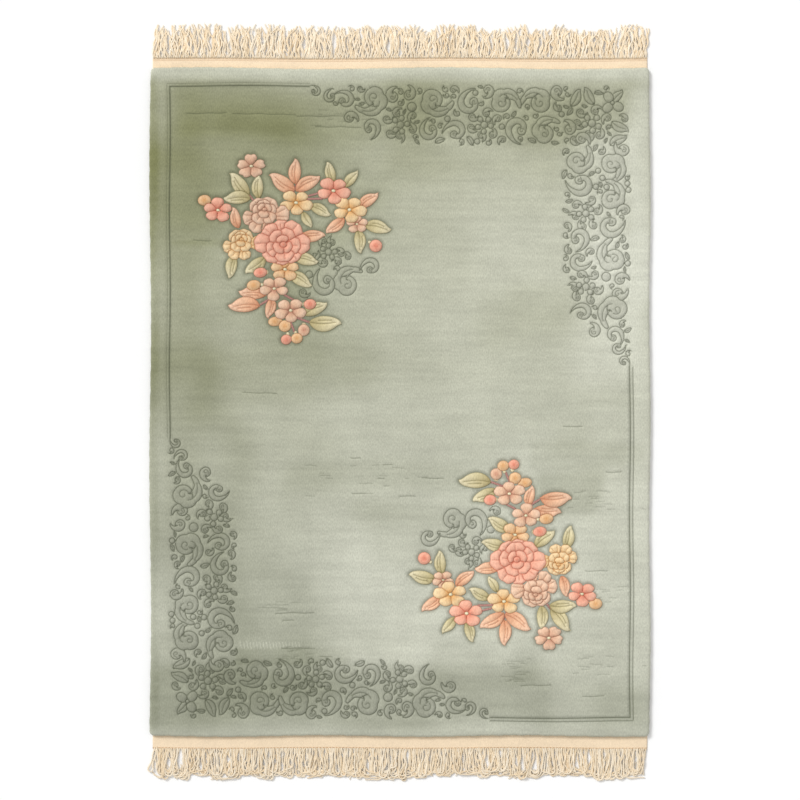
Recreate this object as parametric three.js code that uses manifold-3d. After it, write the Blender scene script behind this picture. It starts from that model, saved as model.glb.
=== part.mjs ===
// A hand-knotted wool rug lying flat: a thick cut pile with raised flower sprays in two opposite corners,
// carved scrollwork in the other two, a double carved border line, and a woven web with its fringe at each end.
// Millimetres, +Z up. The origin is on the floor under the middle of the rug, and +Y points to the far end.
import * as THREE from "three";
import { mergeVertices } from "three/addons/utils/BufferGeometryUtils.js";
import Module from "manifold-3d";

const wasm = await Module();
wasm.setup();

// Driving dimensions
const OVERALL_LENGTH = 1830; // six feet over the fringe
const PILE_WIDTH = 1220; // four feet
const WEB_DEPTH = 24; // woven end web, from the pile to the fringe
const WEB_WIDTH = 1204;
const WEB_THICKNESS = 2.2;
const FRINGE_DEPTH = 76; // from the web to the longest tips
const FOUNDATION_THICKNESS = 3; // knotted cotton back
const FOUNDATION_INSET = 4; // how far the pile overhangs its foundation
const PILE_TOP = 14;
const PILE_EDGE_ROUND = 5; // rounding of the pile's edges
const CORNER_RADIUS = 14;
const FIT_GAP = 0.3; // between neighbouring pieces
const FUSE = 0.2; // how far one solid sinks into the next before they are joined

const PILE_LENGTH = OVERALL_LENGTH - 2 * (WEB_DEPTH + FRINGE_DEPTH);
const HALF_WIDTH = PILE_WIDTH / 2;
const HALF_LENGTH = PILE_LENGTH / 2;

// Waver of the pile's four edges: height of the wave in millimetres, waves per metre, and phase in radians
const EDGE_WAVER = {
  far: { height: 2.2, waves: 1.7, phase: 0.4 },
  near: { height: 1.8, waves: 2.1, phase: 2.2 },
  right: { height: 1.6, waves: 1.9, phase: 1.1 },
  left: { height: 2.0, waves: 1.4, phase: 3.0 },
};
const WEB_WAVER = 0.5; // waver of the web's outer edge, as a share of the pile's
const EDGE_STEP = 64; // spacing of the outline's points along an edge
const CORNER_STEPS = 3;

// Carved border line: two parallel grooves
const BORDER_HALF_WIDTH = 563;
const BORDER_HALF_LENGTH = 762;
const END_LINE = 341; // length of the line along a short end
const SIDE_LINE = 847; // length of the line along a long side
const LINE_SPACING = 7;
const LINE_WIDTH = 3;
const LINE_DEPTH = 2.5;

// Relief of the carved motifs, which stand proud of the pile: height of the crown and width of its sloping rim
const ISLAND_SINK = 1.5; // depth to which a motif is rooted in the pile
const RELIEF = {
  scroll: { crown: 1.4, rim: 0.9 },
  leaf: { crown: 1.8, rim: 2.0 },
  bead: { crown: 2.0, rim: 3.0 },
  blossom: { crown: 2.4, rim: 2.4 },
  peony: { crown: 2.6, rim: 3.0 },
  heart: { crown: 3.6, rim: 3.0 }, // inner petals of a peony
};

// One flower spray, about the heart of its largest peony
const SPRAY_HEART = { x: -286, y: 387 };
const PEONIES = [
  { x: 0, y: 0, radius: 62, lobes: 8 },
  { x: -47, y: 78, radius: 50, lobes: 7 },
  { x: -103, y: 2, radius: 43, lobes: 6 },
];
const BLOSSOMS = [
  { x: -76, y: 187, radius: 34, turn: 90 },
  { x: -157, y: 80, radius: 34, turn: 86 },
  { x: 33, y: 98, radius: 38, turn: 60 },
  { x: 124, y: 127, radius: 38, turn: 58 },
  { x: 163, y: 81, radius: 39, turn: 62 },
  { x: 6, y: -64, radius: 34, turn: 90 },
  { x: -20, y: -111, radius: 33, turn: 55 },
  { x: 20, y: -164, radius: 35, turn: 60 },
];
const LEAVES = [
  { x: -80, y: 117, length: 70, turn: 126 },
  { x: -57, y: 108, length: 55, turn: 90 },
  { x: -77, y: 108, length: 66, turn: 189 },
  { x: 31, y: 129, length: 71, turn: 141 },
  { x: 33, y: 143, length: 62, turn: 87 },
  { x: 33, y: 126, length: 68, turn: 24 },
  { x: 126, y: 153, length: 48, turn: 105 },
  { x: 153, y: 137, length: 47, turn: 50 },
  { x: 189, y: 86, length: 55, turn: 34 },
  { x: 150, y: 59, length: 57, turn: 216 },
  { x: 49, y: 20, length: 55, turn: 6 },
  { x: 68, y: 88, length: 54, turn: -33 },
  { x: 52, y: 73, length: 39, turn: -53 },
  { x: 199, y: 41, length: 65, turn: -19 },
  { x: 181, y: 30, length: 56, turn: -92 },
  { x: 29, y: -38, length: 60, turn: -18 },
  { x: 16, y: -78, length: 62, turn: -35 },
  { x: -117, y: -33, length: 53, turn: -94 },
  { x: -44, y: -36, length: 60, turn: 212 },
  { x: -42, y: -127, length: 66, turn: 182 },
  { x: -55, y: -153, length: 76, turn: 191 },
  { x: -29, y: -137, length: 48, turn: -106 },
  { x: 55, y: -176, length: 64, turn: 22 },
  { x: 65, y: -192, length: 79, turn: 7 },
  { x: -108, y: 42, length: 47, turn: 100 },
];
const LEAF_WIDTH = 0.4; // of its length
const BERRIES = [
  { x: -190, y: 104, radius: 15 },
  { x: 227, y: -7, radius: 16 },
  { x: -54, y: -72, radius: 13 },
  { x: -70, y: -103, radius: 13 },
  { x: 67, y: -149, radius: 13 },
  { x: -18, y: -191, radius: 13 },
  { x: 6, y: -202, radius: 14 },
  { x: 52, y: -212, radius: 14 },
  { x: 9, y: -235, radius: 12 },
  { x: 35, y: -232, radius: 13 },
];
const SPRAY_SCROLLS = [
  { x: 108, y: -16, size: 26, turn: 20, sweep: 250 },
  { x: 150, y: -22, size: 18, turn: 200, sweep: 230 },
  { x: 112, y: -94, size: 34, turn: 70, sweep: 240 },
  { x: 164, y: -96, size: 34, turn: 250, sweep: 250 },
  { x: 212, y: -58, size: 26, turn: 300, sweep: 280 },
];

// One scrollwork arm: distance along the border line from its corner, distance inwards from the line, and size
const ARM_SCROLLS = [
  { along: 190, across: 24, size: 26, turn: 160, sweep: 260 },
  { along: 248, across: 30, size: 33, turn: 20, sweep: 250 },
  { along: 318, across: 36, size: 35, turn: 200, sweep: 255 },
  { along: 214, across: 108, size: 33, turn: 330, sweep: 250 },
  { along: 292, across: 108, size: 35, turn: 150, sweep: 255 },
  { along: 404, across: 34, size: 33, turn: 10, sweep: 250 },
  { along: 476, across: 42, size: 36, turn: 190, sweep: 260 },
  { along: 552, across: 30, size: 26, turn: 30, sweep: 270 },
  { along: 632, across: 34, size: 36, turn: 170, sweep: 255 },
  { along: 706, across: 34, size: 26, turn: 350, sweep: 250 },
  { along: 756, across: 16, size: 18, turn: 150, sweep: 280 },
];
const ARM_ROSETTES = [
  { along: 372, across: 98, radius: 36 },
  { along: 556, across: 92, radius: 38 },
];
const CORNER_ROSETTE = { along: 92, across: 92, radius: 44 };
const CORNER_LEAVES = [
  { along: 40, across: 40, length: 56, turn: 225 },
  { along: 62, across: 24, length: 40, turn: 285 },
  { along: 112, across: 34, length: 40, turn: 290 },
  { along: 150, across: 40, length: 44, turn: 320 },
];
const ROSETTE_LOBES = 6;
const END_ARM = 2 * BORDER_HALF_WIDTH - END_LINE;
const SIDE_ARM = 2 * BORDER_HALF_LENGTH - SIDE_LINE;

// Fringe strands: a three-sided section, resting on its base
const STRANDS = 104; // at each end
const STRAND_WIDTH = 4.6;
const STRAND_HEIGHT = 2.4; // and that of the heading
const STRAND_TIP = 0.55; // tip section as a share of the root section
const STRAND_STEPS = 4;
const HEADING_DEPTH = 3; // narrow strip that the strands grow from
const STRAND_WAVE = { height: 2.4, waves: 0.9, drift: 0.7 }; // sideways wave, and its change of phase per strand
const STRAND_LEAN = { reach: 11, spacing: 330 }; // sideways lean at the tips, which swings along the edge
const STRAND_UNEVEN = 9; // difference between the longest and the shortest strand

const PILE_FINISH = { color: 0xb2b69e, roughness: 0.95, metalness: 0 };
const WEB_FINISH = { color: 0xf0d6b0, roughness: 0.9, metalness: 0 };
const FRINGE_FINISH = { color: 0xecd3b0, roughness: 0.9, metalness: 0 };

const FULL_TURN = 2 * Math.PI;
const radians = (degrees) => (degrees * Math.PI) / 180;

// Solids

function solidOf(geometry) {
  const bare = geometry.clone();
  bare.deleteAttribute("normal");
  bare.deleteAttribute("uv");
  const merged = mergeVertices(bare, 1e-4);
  return new wasm.Manifold(
    new wasm.Mesh({
      numProp: 3,
      vertProperties: merged.attributes.position.array,
      triVerts: new Uint32Array(merged.index.array),
    }),
  );
}

function geometryOf(solid) {
  const mesh = solid.getMesh();
  const geometry = new THREE.BufferGeometry();
  geometry.setAttribute("position", new THREE.BufferAttribute(mesh.vertProperties, mesh.numProp));
  geometry.setIndex(new THREE.BufferAttribute(mesh.triVerts, 1));
  geometry.computeVertexNormals();
  return geometry;
}

const joined = (solids) => solids.reduce((whole, next) => whole.add(next));

// A closed outline raised from one height to another, with straight walls
function slab(outline, bottom, top) {
  const shape = new THREE.Shape(outline);
  const geometry = new THREE.ExtrudeGeometry(shape, { depth: top - bottom, bevelEnabled: false });
  return solidOf(geometry.translate(0, 0, bottom));
}

// The same with rounded edges, inside the outline
function roundedSlab(outline, bottom, top, round) {
  const geometry = new THREE.ExtrudeGeometry(new THREE.Shape(outline), {
    depth: top - bottom - 2 * round,
    bevelThickness: round,
    bevelSize: round,
    bevelOffset: -round,
    bevelSegments: 2,
  });
  return solidOf(geometry.translate(0, 0, bottom + round));
}

// A motif that stands on the pile: its outline at the pile's level, and a sloping rim up to its crown
function island(outline, { crown, rim }) {
  const geometry = new THREE.ExtrudeGeometry(new THREE.Shape(outline), {
    depth: ISLAND_SINK,
    bevelThickness: crown,
    bevelSize: rim,
    bevelOffset: -rim,
    bevelSegments: 1,
  });
  return solidOf(geometry.translate(0, 0, PILE_TOP - ISLAND_SINK));
}

// Outlines, anticlockwise, about their own origins

function waver({ height, waves, phase }, distance) {
  return height * Math.sin((FULL_TURN * waves * distance) / 1000 + phase);
}

// Edge of the pile at the far or near end, as a distance from the middle of the rug
const endReach = (end, x) => HALF_LENGTH - EDGE_WAVER[end].height + waver(EDGE_WAVER[end], x);

// Outer edge of the web, a little straighter than the pile's
const webReach = (end, x) => HALF_LENGTH + WEB_DEPTH + WEB_WAVER * waver(EDGE_WAVER[end], x);

function pileOutline(inset) {
  const sides = [
    { name: "right", half: HALF_LENGTH, reach: HALF_WIDTH, turn: 0 },
    { name: "far", half: HALF_WIDTH, reach: HALF_LENGTH, turn: 90 },
    { name: "left", half: HALF_LENGTH, reach: HALF_WIDTH, turn: 180 },
    { name: "near", half: HALF_WIDTH, reach: HALF_LENGTH, turn: 270 },
  ];
  const middle = new THREE.Vector2();
  const edges = sides.map(({ name, half, reach, turn }) => {
    const wave = EDGE_WAVER[name];
    const run = half - inset - CORNER_RADIUS;
    const steps = Math.round((2 * run) / EDGE_STEP);
    return Array.from({ length: steps + 1 }, (_, i) => {
      const along = -run + (2 * run * i) / steps;
      const out = reach - inset - wave.height + waver(wave, -along);
      return new THREE.Vector2(out, along).rotateAround(middle, radians(turn));
    });
  });
  return edges.flatMap((edge, i) => {
    const [first] = edges[(i + 1) % edges.length];
    const last = edge.at(-1);
    const corner = i % 2 === 0 ? new THREE.Vector2(last.x, first.y) : new THREE.Vector2(first.x, last.y);
    const curve = new THREE.QuadraticBezierCurve(last, corner, first);
    return [...edge, ...curve.getPoints(CORNER_STEPS).slice(1, -1)];
  });
}

function leafOutline(length) {
  const width = LEAF_WIDTH * length;
  const shape = new THREE.Shape();
  shape.bezierCurveTo(0.2 * length, -0.8 * width, 0.7 * length, -0.6 * width, length, 0.1 * width);
  shape.bezierCurveTo(0.75 * length, 0.6 * width, 0.3 * length, 0.75 * width, 0, 0);
  return shape.getPoints(3);
}

// A round form with scalloped lobes: depth is how far the notches reach in, as a share of the radius
function lobedOutline(radius, lobes, depth, pointsPerLobe) {
  const count = lobes * pointsPerLobe;
  return Array.from({ length: count }, (_, i) => {
    const angle = (FULL_TURN * i) / count;
    const lobe = Math.sqrt(Math.abs(Math.cos((lobes * angle) / 2)));
    const reach = radius * (1 - depth + depth * lobe);
    return new THREE.Vector2(reach * Math.cos(angle), reach * Math.sin(angle));
  });
}

function beadOutline(radius) {
  return new THREE.EllipseCurve(0, 0, radius, radius).getPoints(8);
}

// A crescent scroll: a stroke round an opening spiral, with a bulb at its inner end and a pointed tail
function scrollOutline(size, sweep) {
  const steps = 6;
  const innerRadius = 0.5 * size;
  const outerRadius = 0.82 * size;
  const fullHalfWidth = 0.24 * size;
  const inner = [];
  const outer = [];
  for (let i = 0; i <= steps; i++) {
    const share = i / steps;
    const angle = radians(sweep) * share;
    const radius = innerRadius + (outerRadius - innerRadius) * share;
    const bulb = Math.sqrt(Math.min(1, 0.25 + share / 0.25));
    const halfWidth = fullHalfWidth * bulb * (1 - 0.7 * share ** 2);
    const way = new THREE.Vector2(Math.cos(angle), Math.sin(angle));
    outer.push(way.clone().multiplyScalar(radius + halfWidth));
    inner.unshift(way.clone().multiplyScalar(radius - halfWidth));
  }
  return [...outer, ...inner];
}

// Places

const turned = (outline, { x, y, turn = 0 }) =>
  outline.map((point) =>
    point.clone().rotateAround(new THREE.Vector2(), radians(turn)).add(new THREE.Vector2(x, y)),
  );

const moved = (outline, { x, y }) => outline.map((point) => new THREE.Vector2(point.x + x, point.y + y));

const halfTurned = (outline) => outline.map((point) => new THREE.Vector2(-point.x, -point.y));

// From distances along and across an arm to the corner with the largest x and y
const onEndArm = (outline) =>
  outline.map(({ x, y }) => new THREE.Vector2(BORDER_HALF_WIDTH - x, BORDER_HALF_LENGTH - y));

const onSideArm = (outline) =>
  outline.map(({ x, y }) => new THREE.Vector2(BORDER_HALF_WIDTH - y, BORDER_HALF_LENGTH - x)).reverse();

const onArm = ({ along, across, turn }, stretch) => ({ x: along * stretch, y: across, turn });

// Motifs of one spray and of one corner, each an outline with its relief

function sprayMotifs() {
  const motifs = [];
  for (const row of LEAVES) motifs.push([turned(leafOutline(row.length), row), RELIEF.leaf]);
  for (const row of SPRAY_SCROLLS) motifs.push([turned(scrollOutline(row.size, row.sweep), row), RELIEF.scroll]);
  for (const row of BERRIES) motifs.push([turned(beadOutline(row.radius), row), RELIEF.bead]);
  for (const row of BLOSSOMS) motifs.push([turned(lobedOutline(row.radius, 5, 0.4, 4), row), RELIEF.blossom]);
  for (const row of PEONIES) {
    motifs.push([turned(lobedOutline(row.radius, row.lobes, 0.16, 3), row), RELIEF.peony]);
    motifs.push([turned(lobedOutline(0.55 * row.radius, 5, 0.2, 3), row), RELIEF.heart]);
  }
  return motifs.map(([outline, relief]) => [moved(outline, SPRAY_HEART), relief]);
}

function armMotifs(stretch) {
  const motifs = [];
  for (const row of ARM_SCROLLS) {
    motifs.push([turned(scrollOutline(row.size, row.sweep), onArm(row, stretch)), RELIEF.scroll]);
  }
  for (const row of ARM_ROSETTES) {
    motifs.push([turned(lobedOutline(row.radius, ROSETTE_LOBES, 0.25, 3), onArm(row, stretch)), RELIEF.leaf]);
  }
  for (const row of CORNER_LEAVES) motifs.push([turned(leafOutline(row.length), onArm(row, 1)), RELIEF.leaf]);
  return motifs;
}

function cornerMotifs() {
  const { radius } = CORNER_ROSETTE;
  const rosette = turned(lobedOutline(radius, ROSETTE_LOBES, 0.25, 3), onArm(CORNER_ROSETTE, 1));
  const onEnd = armMotifs(1).map(([outline, relief]) => [onEndArm(outline), relief]);
  const onSide = armMotifs(SIDE_ARM / END_ARM).map(([outline, relief]) => [onSideArm(outline), relief]);
  return [...onEnd, ...onSide, [onEndArm(rosette), RELIEF.leaf]];
}

// One groove of the border line, a wedge along a straight run
function groove(length) {
  const half = LINE_WIDTH / 2;
  const wedge = new THREE.Shape();
  wedge.moveTo(-half, FUSE);
  wedge.lineTo(0, -LINE_DEPTH);
  wedge.lineTo(half, FUSE);
  return new THREE.ExtrudeGeometry(wedge, { depth: length, bevelEnabled: false });
}

// The two double lines that meet at the corner with the smallest x and the largest y
function borderGrooves() {
  const cut = [];
  for (const side of [-0.5, 0.5]) {
    const offset = side * LINE_SPACING;
    const alongSide = groove(SIDE_LINE - offset).rotateX(Math.PI / 2);
    alongSide.translate(-BORDER_HALF_WIDTH - offset, BORDER_HALF_LENGTH - offset, PILE_TOP);
    const alongEnd = groove(END_LINE - offset).rotateX(Math.PI / 2).rotateZ(Math.PI / 2);
    alongEnd.translate(-BORDER_HALF_WIDTH + offset, BORDER_HALF_LENGTH - offset, PILE_TOP);
    cut.push(alongSide, alongEnd);
  }
  return cut.flatMap((geometry) => [solidOf(geometry), solidOf(geometry.clone().rotateZ(Math.PI))]);
}

function carvedPile() {
  const motifs = [...sprayMotifs(), ...cornerMotifs()];
  const islands = motifs.flatMap(([outline, relief]) => [
    island(outline, relief),
    island(halfTurned(outline), relief),
  ]);
  const foundation = slab(pileOutline(FOUNDATION_INSET), 0, FOUNDATION_THICKNESS + FUSE);
  const pile = roundedSlab(pileOutline(0), FOUNDATION_THICKNESS, PILE_TOP, PILE_EDGE_ROUND);
  const carved = joined([pile, ...islands]).subtract(joined(borderGrooves()));
  return geometryOf(foundation.add(carved));
}

// The web tucks under the pile's overhang and follows its edge
function endWeb(end) {
  const half = WEB_WIDTH / 2;
  const steps = Math.round(WEB_WIDTH / EDGE_STEP);
  const inner = [];
  const outer = [];
  for (let i = 0; i <= steps; i++) {
    const x = -half + (WEB_WIDTH * i) / steps;
    inner.push(new THREE.Vector2(x, endReach(end, x) - FOUNDATION_INSET + FIT_GAP));
    outer.unshift(new THREE.Vector2(x, webReach(end, x)));
  }
  return geometryOf(slab([...inner, ...outer], 0, WEB_THICKNESS));
}

// Strands of three-sided section that grow from a narrow heading, all in one skin and level on the floor
class FringeSkin {
  constructor(end) {
    this.end = end;
    this.positions = [];
    this.faces = [];
  }

  point(x, y, z) {
    this.positions.push(x, y, z);
    return this.positions.length / 3 - 1;
  }

  quad(a, b, c, d) {
    this.faces.push(a, b, c, a, c, d);
  }

  // A flat face over a ring of points, anticlockwise from above
  cover(ring, facesUp) {
    const contour = ring.map((i) => new THREE.Vector2(this.positions[3 * i], this.positions[3 * i + 1]));
    for (const [a, b, c] of THREE.ShapeUtils.triangulateShape(contour, [])) {
      if (facesUp) this.faces.push(ring[a], ring[b], ring[c]);
      else this.faces.push(ring[c], ring[b], ring[a]);
    }
  }

  headingBack(z) {
    const steps = Math.round(WEB_WIDTH / EDGE_STEP);
    return Array.from({ length: steps + 1 }, (_, i) => {
      const x = -WEB_WIDTH / 2 + (WEB_WIDTH * i) / steps;
      return this.point(x, webReach(this.end, x) + FIT_GAP, z);
    });
  }

  // One section of a strand: the left and right of its base, and its ridge
  section(x, edge, size) {
    const half = (STRAND_WIDTH / 2) * size;
    return {
      left: this.point(x - half, edge(x - half), 0),
      right: this.point(x + half, edge(x + half), 0),
      ridge: this.point(x, edge(x), STRAND_HEIGHT * size),
    };
  }

  strand(index) {
    const pitch = (WEB_WIDTH - STRAND_WIDTH) / (STRANDS - 1);
    const rootX = -(WEB_WIDTH - STRAND_WIDTH) / 2 + pitch * index;
    const front = (x) => webReach(this.end, x) + FIT_GAP + HEADING_DEPTH;
    const shortfall = STRAND_UNEVEN * (0.5 + 0.5 * Math.sin(index * 2.4) * Math.cos(index * 0.37));
    const length = HALF_LENGTH + WEB_DEPTH + FRINGE_DEPTH - front(rootX) - shortfall;
    const phase = STRAND_WAVE.drift * index;
    const lean = STRAND_LEAN.reach * Math.sin((FULL_TURN * rootX) / STRAND_LEAN.spacing);
    const root = this.section(rootX, front, 1);
    let last = root;
    for (let i = 1; i <= STRAND_STEPS; i++) {
      const share = i / STRAND_STEPS;
      const wave = Math.sin(FULL_TURN * STRAND_WAVE.waves * share + phase) - Math.sin(phase);
      const x = rootX + lean * share ** 2 + STRAND_WAVE.height * share * wave;
      const level = front(rootX) + length * share;
      const next = this.section(x, () => level, 1 - (1 - STRAND_TIP) * share);
      this.quad(last.left, next.left, next.right, last.right);
      this.quad(last.right, next.right, next.ridge, last.ridge);
      this.quad(last.ridge, next.ridge, next.left, last.left);
      last = next;
    }
    this.faces.push(last.left, last.ridge, last.right);
    return root;
  }

  geometry() {
    const bottom = this.headingBack(0);
    const top = this.headingBack(STRAND_HEIGHT);
    const roots = Array.from({ length: STRANDS }, (_, index) => this.strand(index));
    for (let i = 1; i < bottom.length; i++) this.quad(bottom[i - 1], bottom[i], top[i], top[i - 1]);
    for (let i = 1; i < roots.length; i++) {
      this.quad(roots[i].left, roots[i - 1].right, roots[i - 1].ridge, roots[i].ridge);
    }
    const first = roots[0];
    const final = roots.at(-1);
    this.quad(first.left, bottom[0], top[0], first.ridge);
    this.quad(bottom.at(-1), final.right, final.ridge, top.at(-1));
    const backwards = roots.toReversed();
    this.cover([...bottom, ...backwards.flatMap(({ left, right }) => [right, left])], false);
    this.cover([...top, ...backwards.map(({ ridge }) => ridge)], true);
    const skin = new THREE.BufferGeometry();
    skin.setAttribute("position", new THREE.Float32BufferAttribute(this.positions, 3));
    skin.setIndex(this.faces);
    skin.computeVertexNormals();
    return skin;
  }
}

// Assembly

function piece(name, geometry, finish) {
  const mesh = new THREE.Mesh(geometry, new THREE.MeshStandardMaterial(finish));
  mesh.name = name;
  return mesh;
}

const rug = new THREE.Group();
rug.add(piece("carved_pile", carvedPile(), PILE_FINISH));
for (const end of ["far", "near"]) {
  const dressing = new THREE.Group();
  dressing.add(piece(`web_${end}`, endWeb(end), WEB_FINISH));
  dressing.add(piece(`fringe_${end}`, new FringeSkin(end).geometry(), FRINGE_FINISH));
  dressing.rotation.z = end === "near" ? Math.PI : 0;
  rug.add(dressing);
}

export default rug;
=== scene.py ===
"""A carved wool rug that lies flat on a pale floor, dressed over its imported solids.

The pile is one carved sheet whose mesh follows the outline of every motif. A woven web and a fringe dress
each end. Sizes are in millimetres, in the solids' own frame, and turn into metres as each mesh is made.
"""

from __future__ import annotations

import logging
import math
from collections.abc import Callable, Sequence
from dataclasses import dataclass, field, replace
from enum import Enum

import bpy
import numpy as np
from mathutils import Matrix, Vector
from mathutils.geometry import delaunay_2d_cdt
from mathutils.kdtree import KDTree

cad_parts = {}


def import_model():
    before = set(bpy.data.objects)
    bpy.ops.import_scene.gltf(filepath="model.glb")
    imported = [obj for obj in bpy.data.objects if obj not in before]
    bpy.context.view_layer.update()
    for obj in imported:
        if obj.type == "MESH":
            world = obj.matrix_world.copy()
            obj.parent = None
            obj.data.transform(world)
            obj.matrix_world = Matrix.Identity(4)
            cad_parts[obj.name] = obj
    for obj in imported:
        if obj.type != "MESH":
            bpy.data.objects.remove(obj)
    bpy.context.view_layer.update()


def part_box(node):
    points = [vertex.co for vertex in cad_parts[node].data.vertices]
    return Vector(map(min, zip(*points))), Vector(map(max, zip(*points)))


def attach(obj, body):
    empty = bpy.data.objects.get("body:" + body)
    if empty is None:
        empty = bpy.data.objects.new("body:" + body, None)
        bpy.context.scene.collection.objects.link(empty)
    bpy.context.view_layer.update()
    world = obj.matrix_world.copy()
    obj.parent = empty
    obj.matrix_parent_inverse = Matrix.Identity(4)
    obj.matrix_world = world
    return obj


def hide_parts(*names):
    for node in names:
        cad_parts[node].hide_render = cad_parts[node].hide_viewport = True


LOG = logging.getLogger("rug")
MM = 0.001
FULL_TURN = 2 * math.pi
BODY = "root"
SEED = 41
BORDER_HALF_WIDTH = 563
BORDER_HALF_LENGTH = 772

Rows = np.ndarray
Object = bpy.types.Object
Material = bpy.types.Material
Socket = bpy.types.NodeSocket


# Colour

def linear(shade: str) -> Rows:
    """Turn six hexadecimal digits of a display colour into linear red, green and blue."""
    parts = np.array([int(shade[i:i + 2], 16) for i in (0, 2, 4)]) / 255
    return np.where(parts <= 0.04045, parts / 12.92, ((parts + 0.055) / 1.055) ** 2.4)


class Shade(Enum):
    """Plain yarns: the sage ground from shaded to brushed nap, and the undyed cotton."""

    # The shaded and brushed sage are painted shade and painted sheen of one yarn, by the lie of its nap; the
    # dusky one is the shaded one towards the near end.
    SHADED = "7f8159"
    BRUSHED = "d4d5c5"
    DUSKY = "7f826c"
    # Painted shade in the grooves of the ground and the scrolls, partly the darker yarn that carving bares.
    DEEP = "4a4f3a"
    WEB = "fde6c6"
    STITCH = "b98a5c"
    YARN = "fff2dc"
    YARN_DARK = "f6dfbb"

    @property
    def rgb(self) -> Rows:
        """The shade in linear colour."""
        return linear(self.value)


@dataclass(frozen=True)
class Tint:
    """Dyes of one motif at its heart, over its body and at its rim, and shade painted down in its seams."""

    heart: str
    body: str
    rim: str
    # Painted shade in the seams, partly the darker yarn that carving bares.
    seam: str

    def blend(self, share: Rows, depth: Rows) -> Rows:
        """Colour points of the motif.

        Args:
            share: Distance of each point from the heart, from 0 to 1.
            depth: How deep in a seam each point lies, from 0 to 1, as painted shade.

        Returns:
            One linear colour for each point.
        """
        stops = (0.1, 0.5, 1.0)
        dyes = np.array([linear(self.heart), linear(self.body), linear(self.rim)])
        colour = np.column_stack([np.interp(share, stops, dyes[:, i]) for i in range(3)])
        return colour + (linear(self.seam) - colour) * depth[:, None]


class Dye(Enum):
    """The dyed yarns of the flowers and leaves, and the scrolls, which take the colour of the ground."""

    CORAL = Tint("e18a72", "f0ae94", "f5c0a7", "c0604a")
    ROSE = Tint("cc9a80", "e4b99b", "edcdb2", "a06c56")
    PINK = Tint("c78f76", "e8bf9f", "eecdb2", "a8725e")
    YELLOW = Tint("e0a561", "edc998", "f3daaf", "bd8044")
    APRICOT = Tint("dfa872", "ebc397", "f1d0a6", "b9743c")
    PEACH = Tint("dc9e7a", "efbf9c", "f4cdb0", "b26e50")
    OLIVE = Tint("b8aa7c", "d5c99f", "e4dab8", "7c7346")
    STEM = Tint("b8807a", "bd8880", "c4948a", "8d5a52")
    CREAM = Tint("f0e6bc", "f0e8c8", "ece0b8", "a98c5c")
    SCROLL = None


@dataclass(frozen=True)
class Relief:
    """How a motif or a line is carved.

    The crown is the height of its dome over the ground, and the dome the distance over which it rises.
    The groove around it has a depth, a width on the motif's side and one on the ground's, and a seam shade
    for each side, which is how far its colour goes to that of the seam: painted shade in and beside the
    groove, partly the darker yarn that the carving bares. A negative one paints light.
    """

    crown: float
    dome: float
    depth: float
    near: float
    far: float
    near_seam_shade: float
    far_seam_shade: float


def line_relief(depth: float, width: float, seam_shade: float) -> Relief:
    """The relief of a line, which has no dome and is alike on both sides."""
    return Relief(0.0, 1.0, depth, width, width, seam_shade, seam_shade)


class Carving(Enum):
    """The ways in which motifs and lines are carved."""

    # Each seam shade paints shade into and beside its groove, partly the darker yarn that carving bares.
    PEONY = Relief(3.2, 11.0, 2.6, 2.6, 9.5, 0.68, 0.5)
    PETAL = Relief(2.4, 9.0, 2.6, 2.4, 9.5, 0.68, 0.55)
    LEAF = Relief(1.8, 8.0, 2.6, 2.2, 9.5, 0.66, 0.55)
    SCROLL = Relief(0.9, 4.5, 2.6, 2.0, 2.0, 0.62, 0.62)
    CREASE = line_relief(1.3, 2.0, 0.5)
    FOLD = line_relief(1.0, 2.0, 0.34)
    LINE = line_relief(2.6, 3.6, 0.78)
    FAINT = line_relief(1.2, 2.4, 0.34)
    TWIN = line_relief(2.0, 2.6, 0.62)
    # Splits and flecks are dark with painted shade in the parted pile.
    SPLIT = line_relief(1.4, 1.8, 0.45)
    FLECK = line_relief(0.8, 1.8, 0.26)
    # Pale strokes of combed nap: painted light, the sheen of the lifted pile, raised a little.
    COMB = line_relief(-0.8, 2.6, -0.4)


# Plane geometry

def turned(points: Rows, degrees: float) -> Rows:
    """Turn plane points about their origin, anticlockwise."""
    angle = math.radians(degrees)
    matrix = np.array([[math.cos(angle), math.sin(angle)], [-math.sin(angle), math.cos(angle)]])
    return points @ matrix


def ray(degrees: float | Rows, reach: float | Rows) -> Rows:
    """Points at an angle and a distance from the origin."""
    angle = np.radians(degrees)
    return np.column_stack([np.cos(angle) * reach, np.sin(angle) * reach])


def resampled(points: Rows, step: float, closed: bool) -> Rows:
    """Space points evenly along a line.

    Args:
        points: Corners of the line.
        step: Spacing of the new points.
        closed: Whether the line returns to its first point.

    Returns:
        The new points. A closed line doesn't repeat its first one.
    """
    line = np.vstack([points, points[:1]]) if closed else np.asarray(points)
    along = np.concatenate([[0.0], np.cumsum(np.linalg.norm(np.diff(line, axis=0), axis=1))])
    count = max(8 if closed else 1, round(along[-1] / step))
    marks = np.linspace(0, along[-1], count + 1)
    spaced = np.column_stack([np.interp(marks, along, line[:, axis]) for axis in (0, 1)])
    return spaced[:-1] if closed else spaced


def inside(points: Rows, outline: Rows) -> Rows:
    """Find which plane points lie in a closed outline."""
    found = np.zeros(len(points), bool)
    low, high = outline.min(axis=0), outline.max(axis=0)
    near = np.flatnonzero(((points >= low) & (points <= high)).all(axis=1))
    x, y = points[near, 0:1], points[near, 1:2]
    ends = np.roll(outline, -1, axis=0)
    crosses = (outline[:, 1] > y) != (ends[:, 1] > y)
    rise = np.where(ends[:, 1] == outline[:, 1], 1e-12, ends[:, 1] - outline[:, 1])
    meets = outline[:, 0] + (y - outline[:, 1]) / rise * (ends[:, 0] - outline[:, 0])
    found[near] = (crosses & (x < meets)).sum(axis=1) % 2 == 1
    return found


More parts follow.
